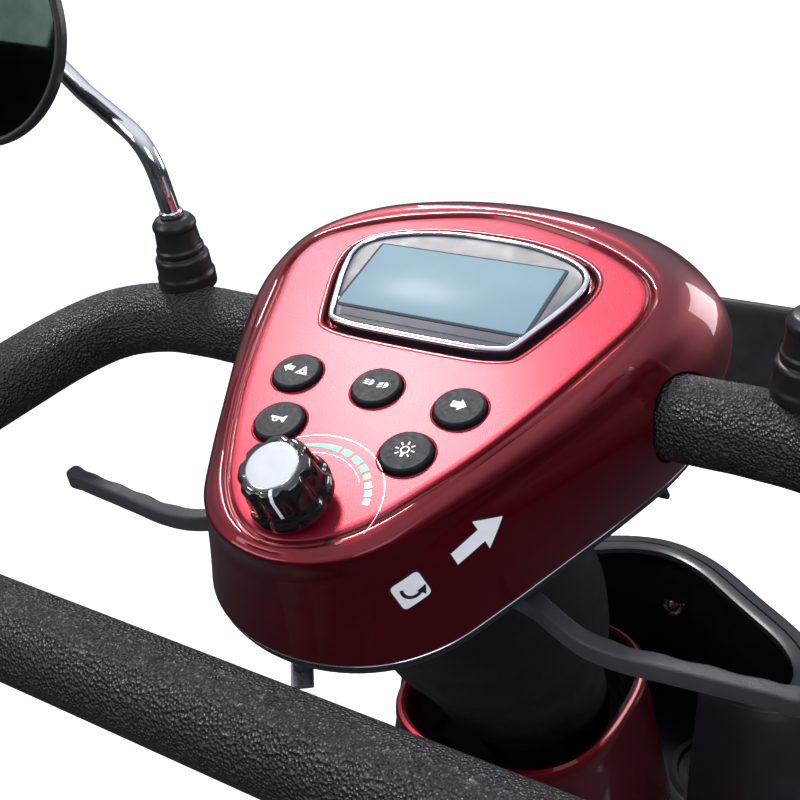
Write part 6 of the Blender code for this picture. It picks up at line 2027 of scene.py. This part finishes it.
def make_stage():
    """Plain pale floor and soft studio light."""
    floor_half = 40.0
    bm = bmesh.new()
    bmesh.ops.create_grid(bm, x_segments=8, y_segments=8, size=floor_half)
    ground = to_object("studio_floor", bm, finish("floor_paper", (0.93, 0.93, 0.935), 0.9, vary=0.01,
                                                  patch=1.0,
                                                  spread=0.03, grain=[("noise", 60.0, 0.0001)], specular=0.1))
    ground.location.z = CAD_BOX[0][2] - 0.0005

    ground.visible_glossy = False
    bpy.context.scene.view_settings.view_transform = "Standard"

    world = bpy.data.worlds.new("studio")
    bpy.context.scene.world = world
    world.use_nodes = True
    tree = world.node_tree
    tree.nodes.clear()
    height = node_of(tree, "ShaderNodeSeparateXYZ")
    tree.links.new(node_of(tree, "ShaderNodeTexCoord").outputs["Generated"], height.inputs[0])
    sky = remap(tree, height.outputs[2], 0.0, 1.0, 0.05, 0.85)
    reflected = blend_colour(tree, sky, SKY_LOW, SKY_HIGH)
    paths = node_of(tree, "ShaderNodeLightPath")
    seen = blend_colour(tree, paths.outputs["Is Camera Ray"], reflected, BACKDROP)
    background = node_of(tree, "ShaderNodeBackground")
    tree.links.new(seen, background.inputs["Color"])
    background.inputs["Strength"].default_value = WORLD_LIGHT
    tree.links.new(background.outputs[0], node_of(tree, "ShaderNodeOutputWorld").inputs["Surface"])

    sun = bpy.data.lights.new("key", "SUN")
    sun.energy = KEY_LIGHT
    sun.angle = math.radians(12.0)
    sun.color = (1.0, 0.985, 0.965)
    key = bpy.data.objects.new("key", sun)
    bpy.context.scene.collection.objects.link(key)
    key.rotation_euler = KEY_FROM.to_track_quat("Z", "Y").to_euler()

    for name, place, target, size, power, colour in LIGHTS:
        data = bpy.data.lights.new(name, "AREA")
        data.shape = "RECTANGLE"
        data.size, data.size_y = size
        data.energy = power
        data.color = colour
        lamp = bpy.data.objects.new(name, data)
        bpy.context.scene.collection.objects.link(lamp)
        lamp.location = place
        lamp.rotation_euler = (Vector(target) - Vector(place)).to_track_quat("-Z", "Y").to_euler()


make_stage()


def make_camera():
    """Rider's view down onto the console."""
    data = bpy.data.cameras.new("view")
    data.lens = 49.5
    data.sensor_width = 36.0
    data.clip_start = 0.01
    camera = bpy.data.objects.new("view", data)
    bpy.context.scene.collection.objects.link(camera)
    right = Vector((0.86125, 0.50818, 0.0001))
    up = Vector((-0.19235, 0.32581, 0.92567))
    back = Vector((0.47037, -0.79725, 0.37835))
    camera.matrix_world = Matrix.Translation(CONSOLE + Vector((0.21591, -0.36006, 0.15761))) @ \
        Matrix((right, up, back)).transposed().to_4x4()
    bpy.context.scene.camera = camera


make_camera()
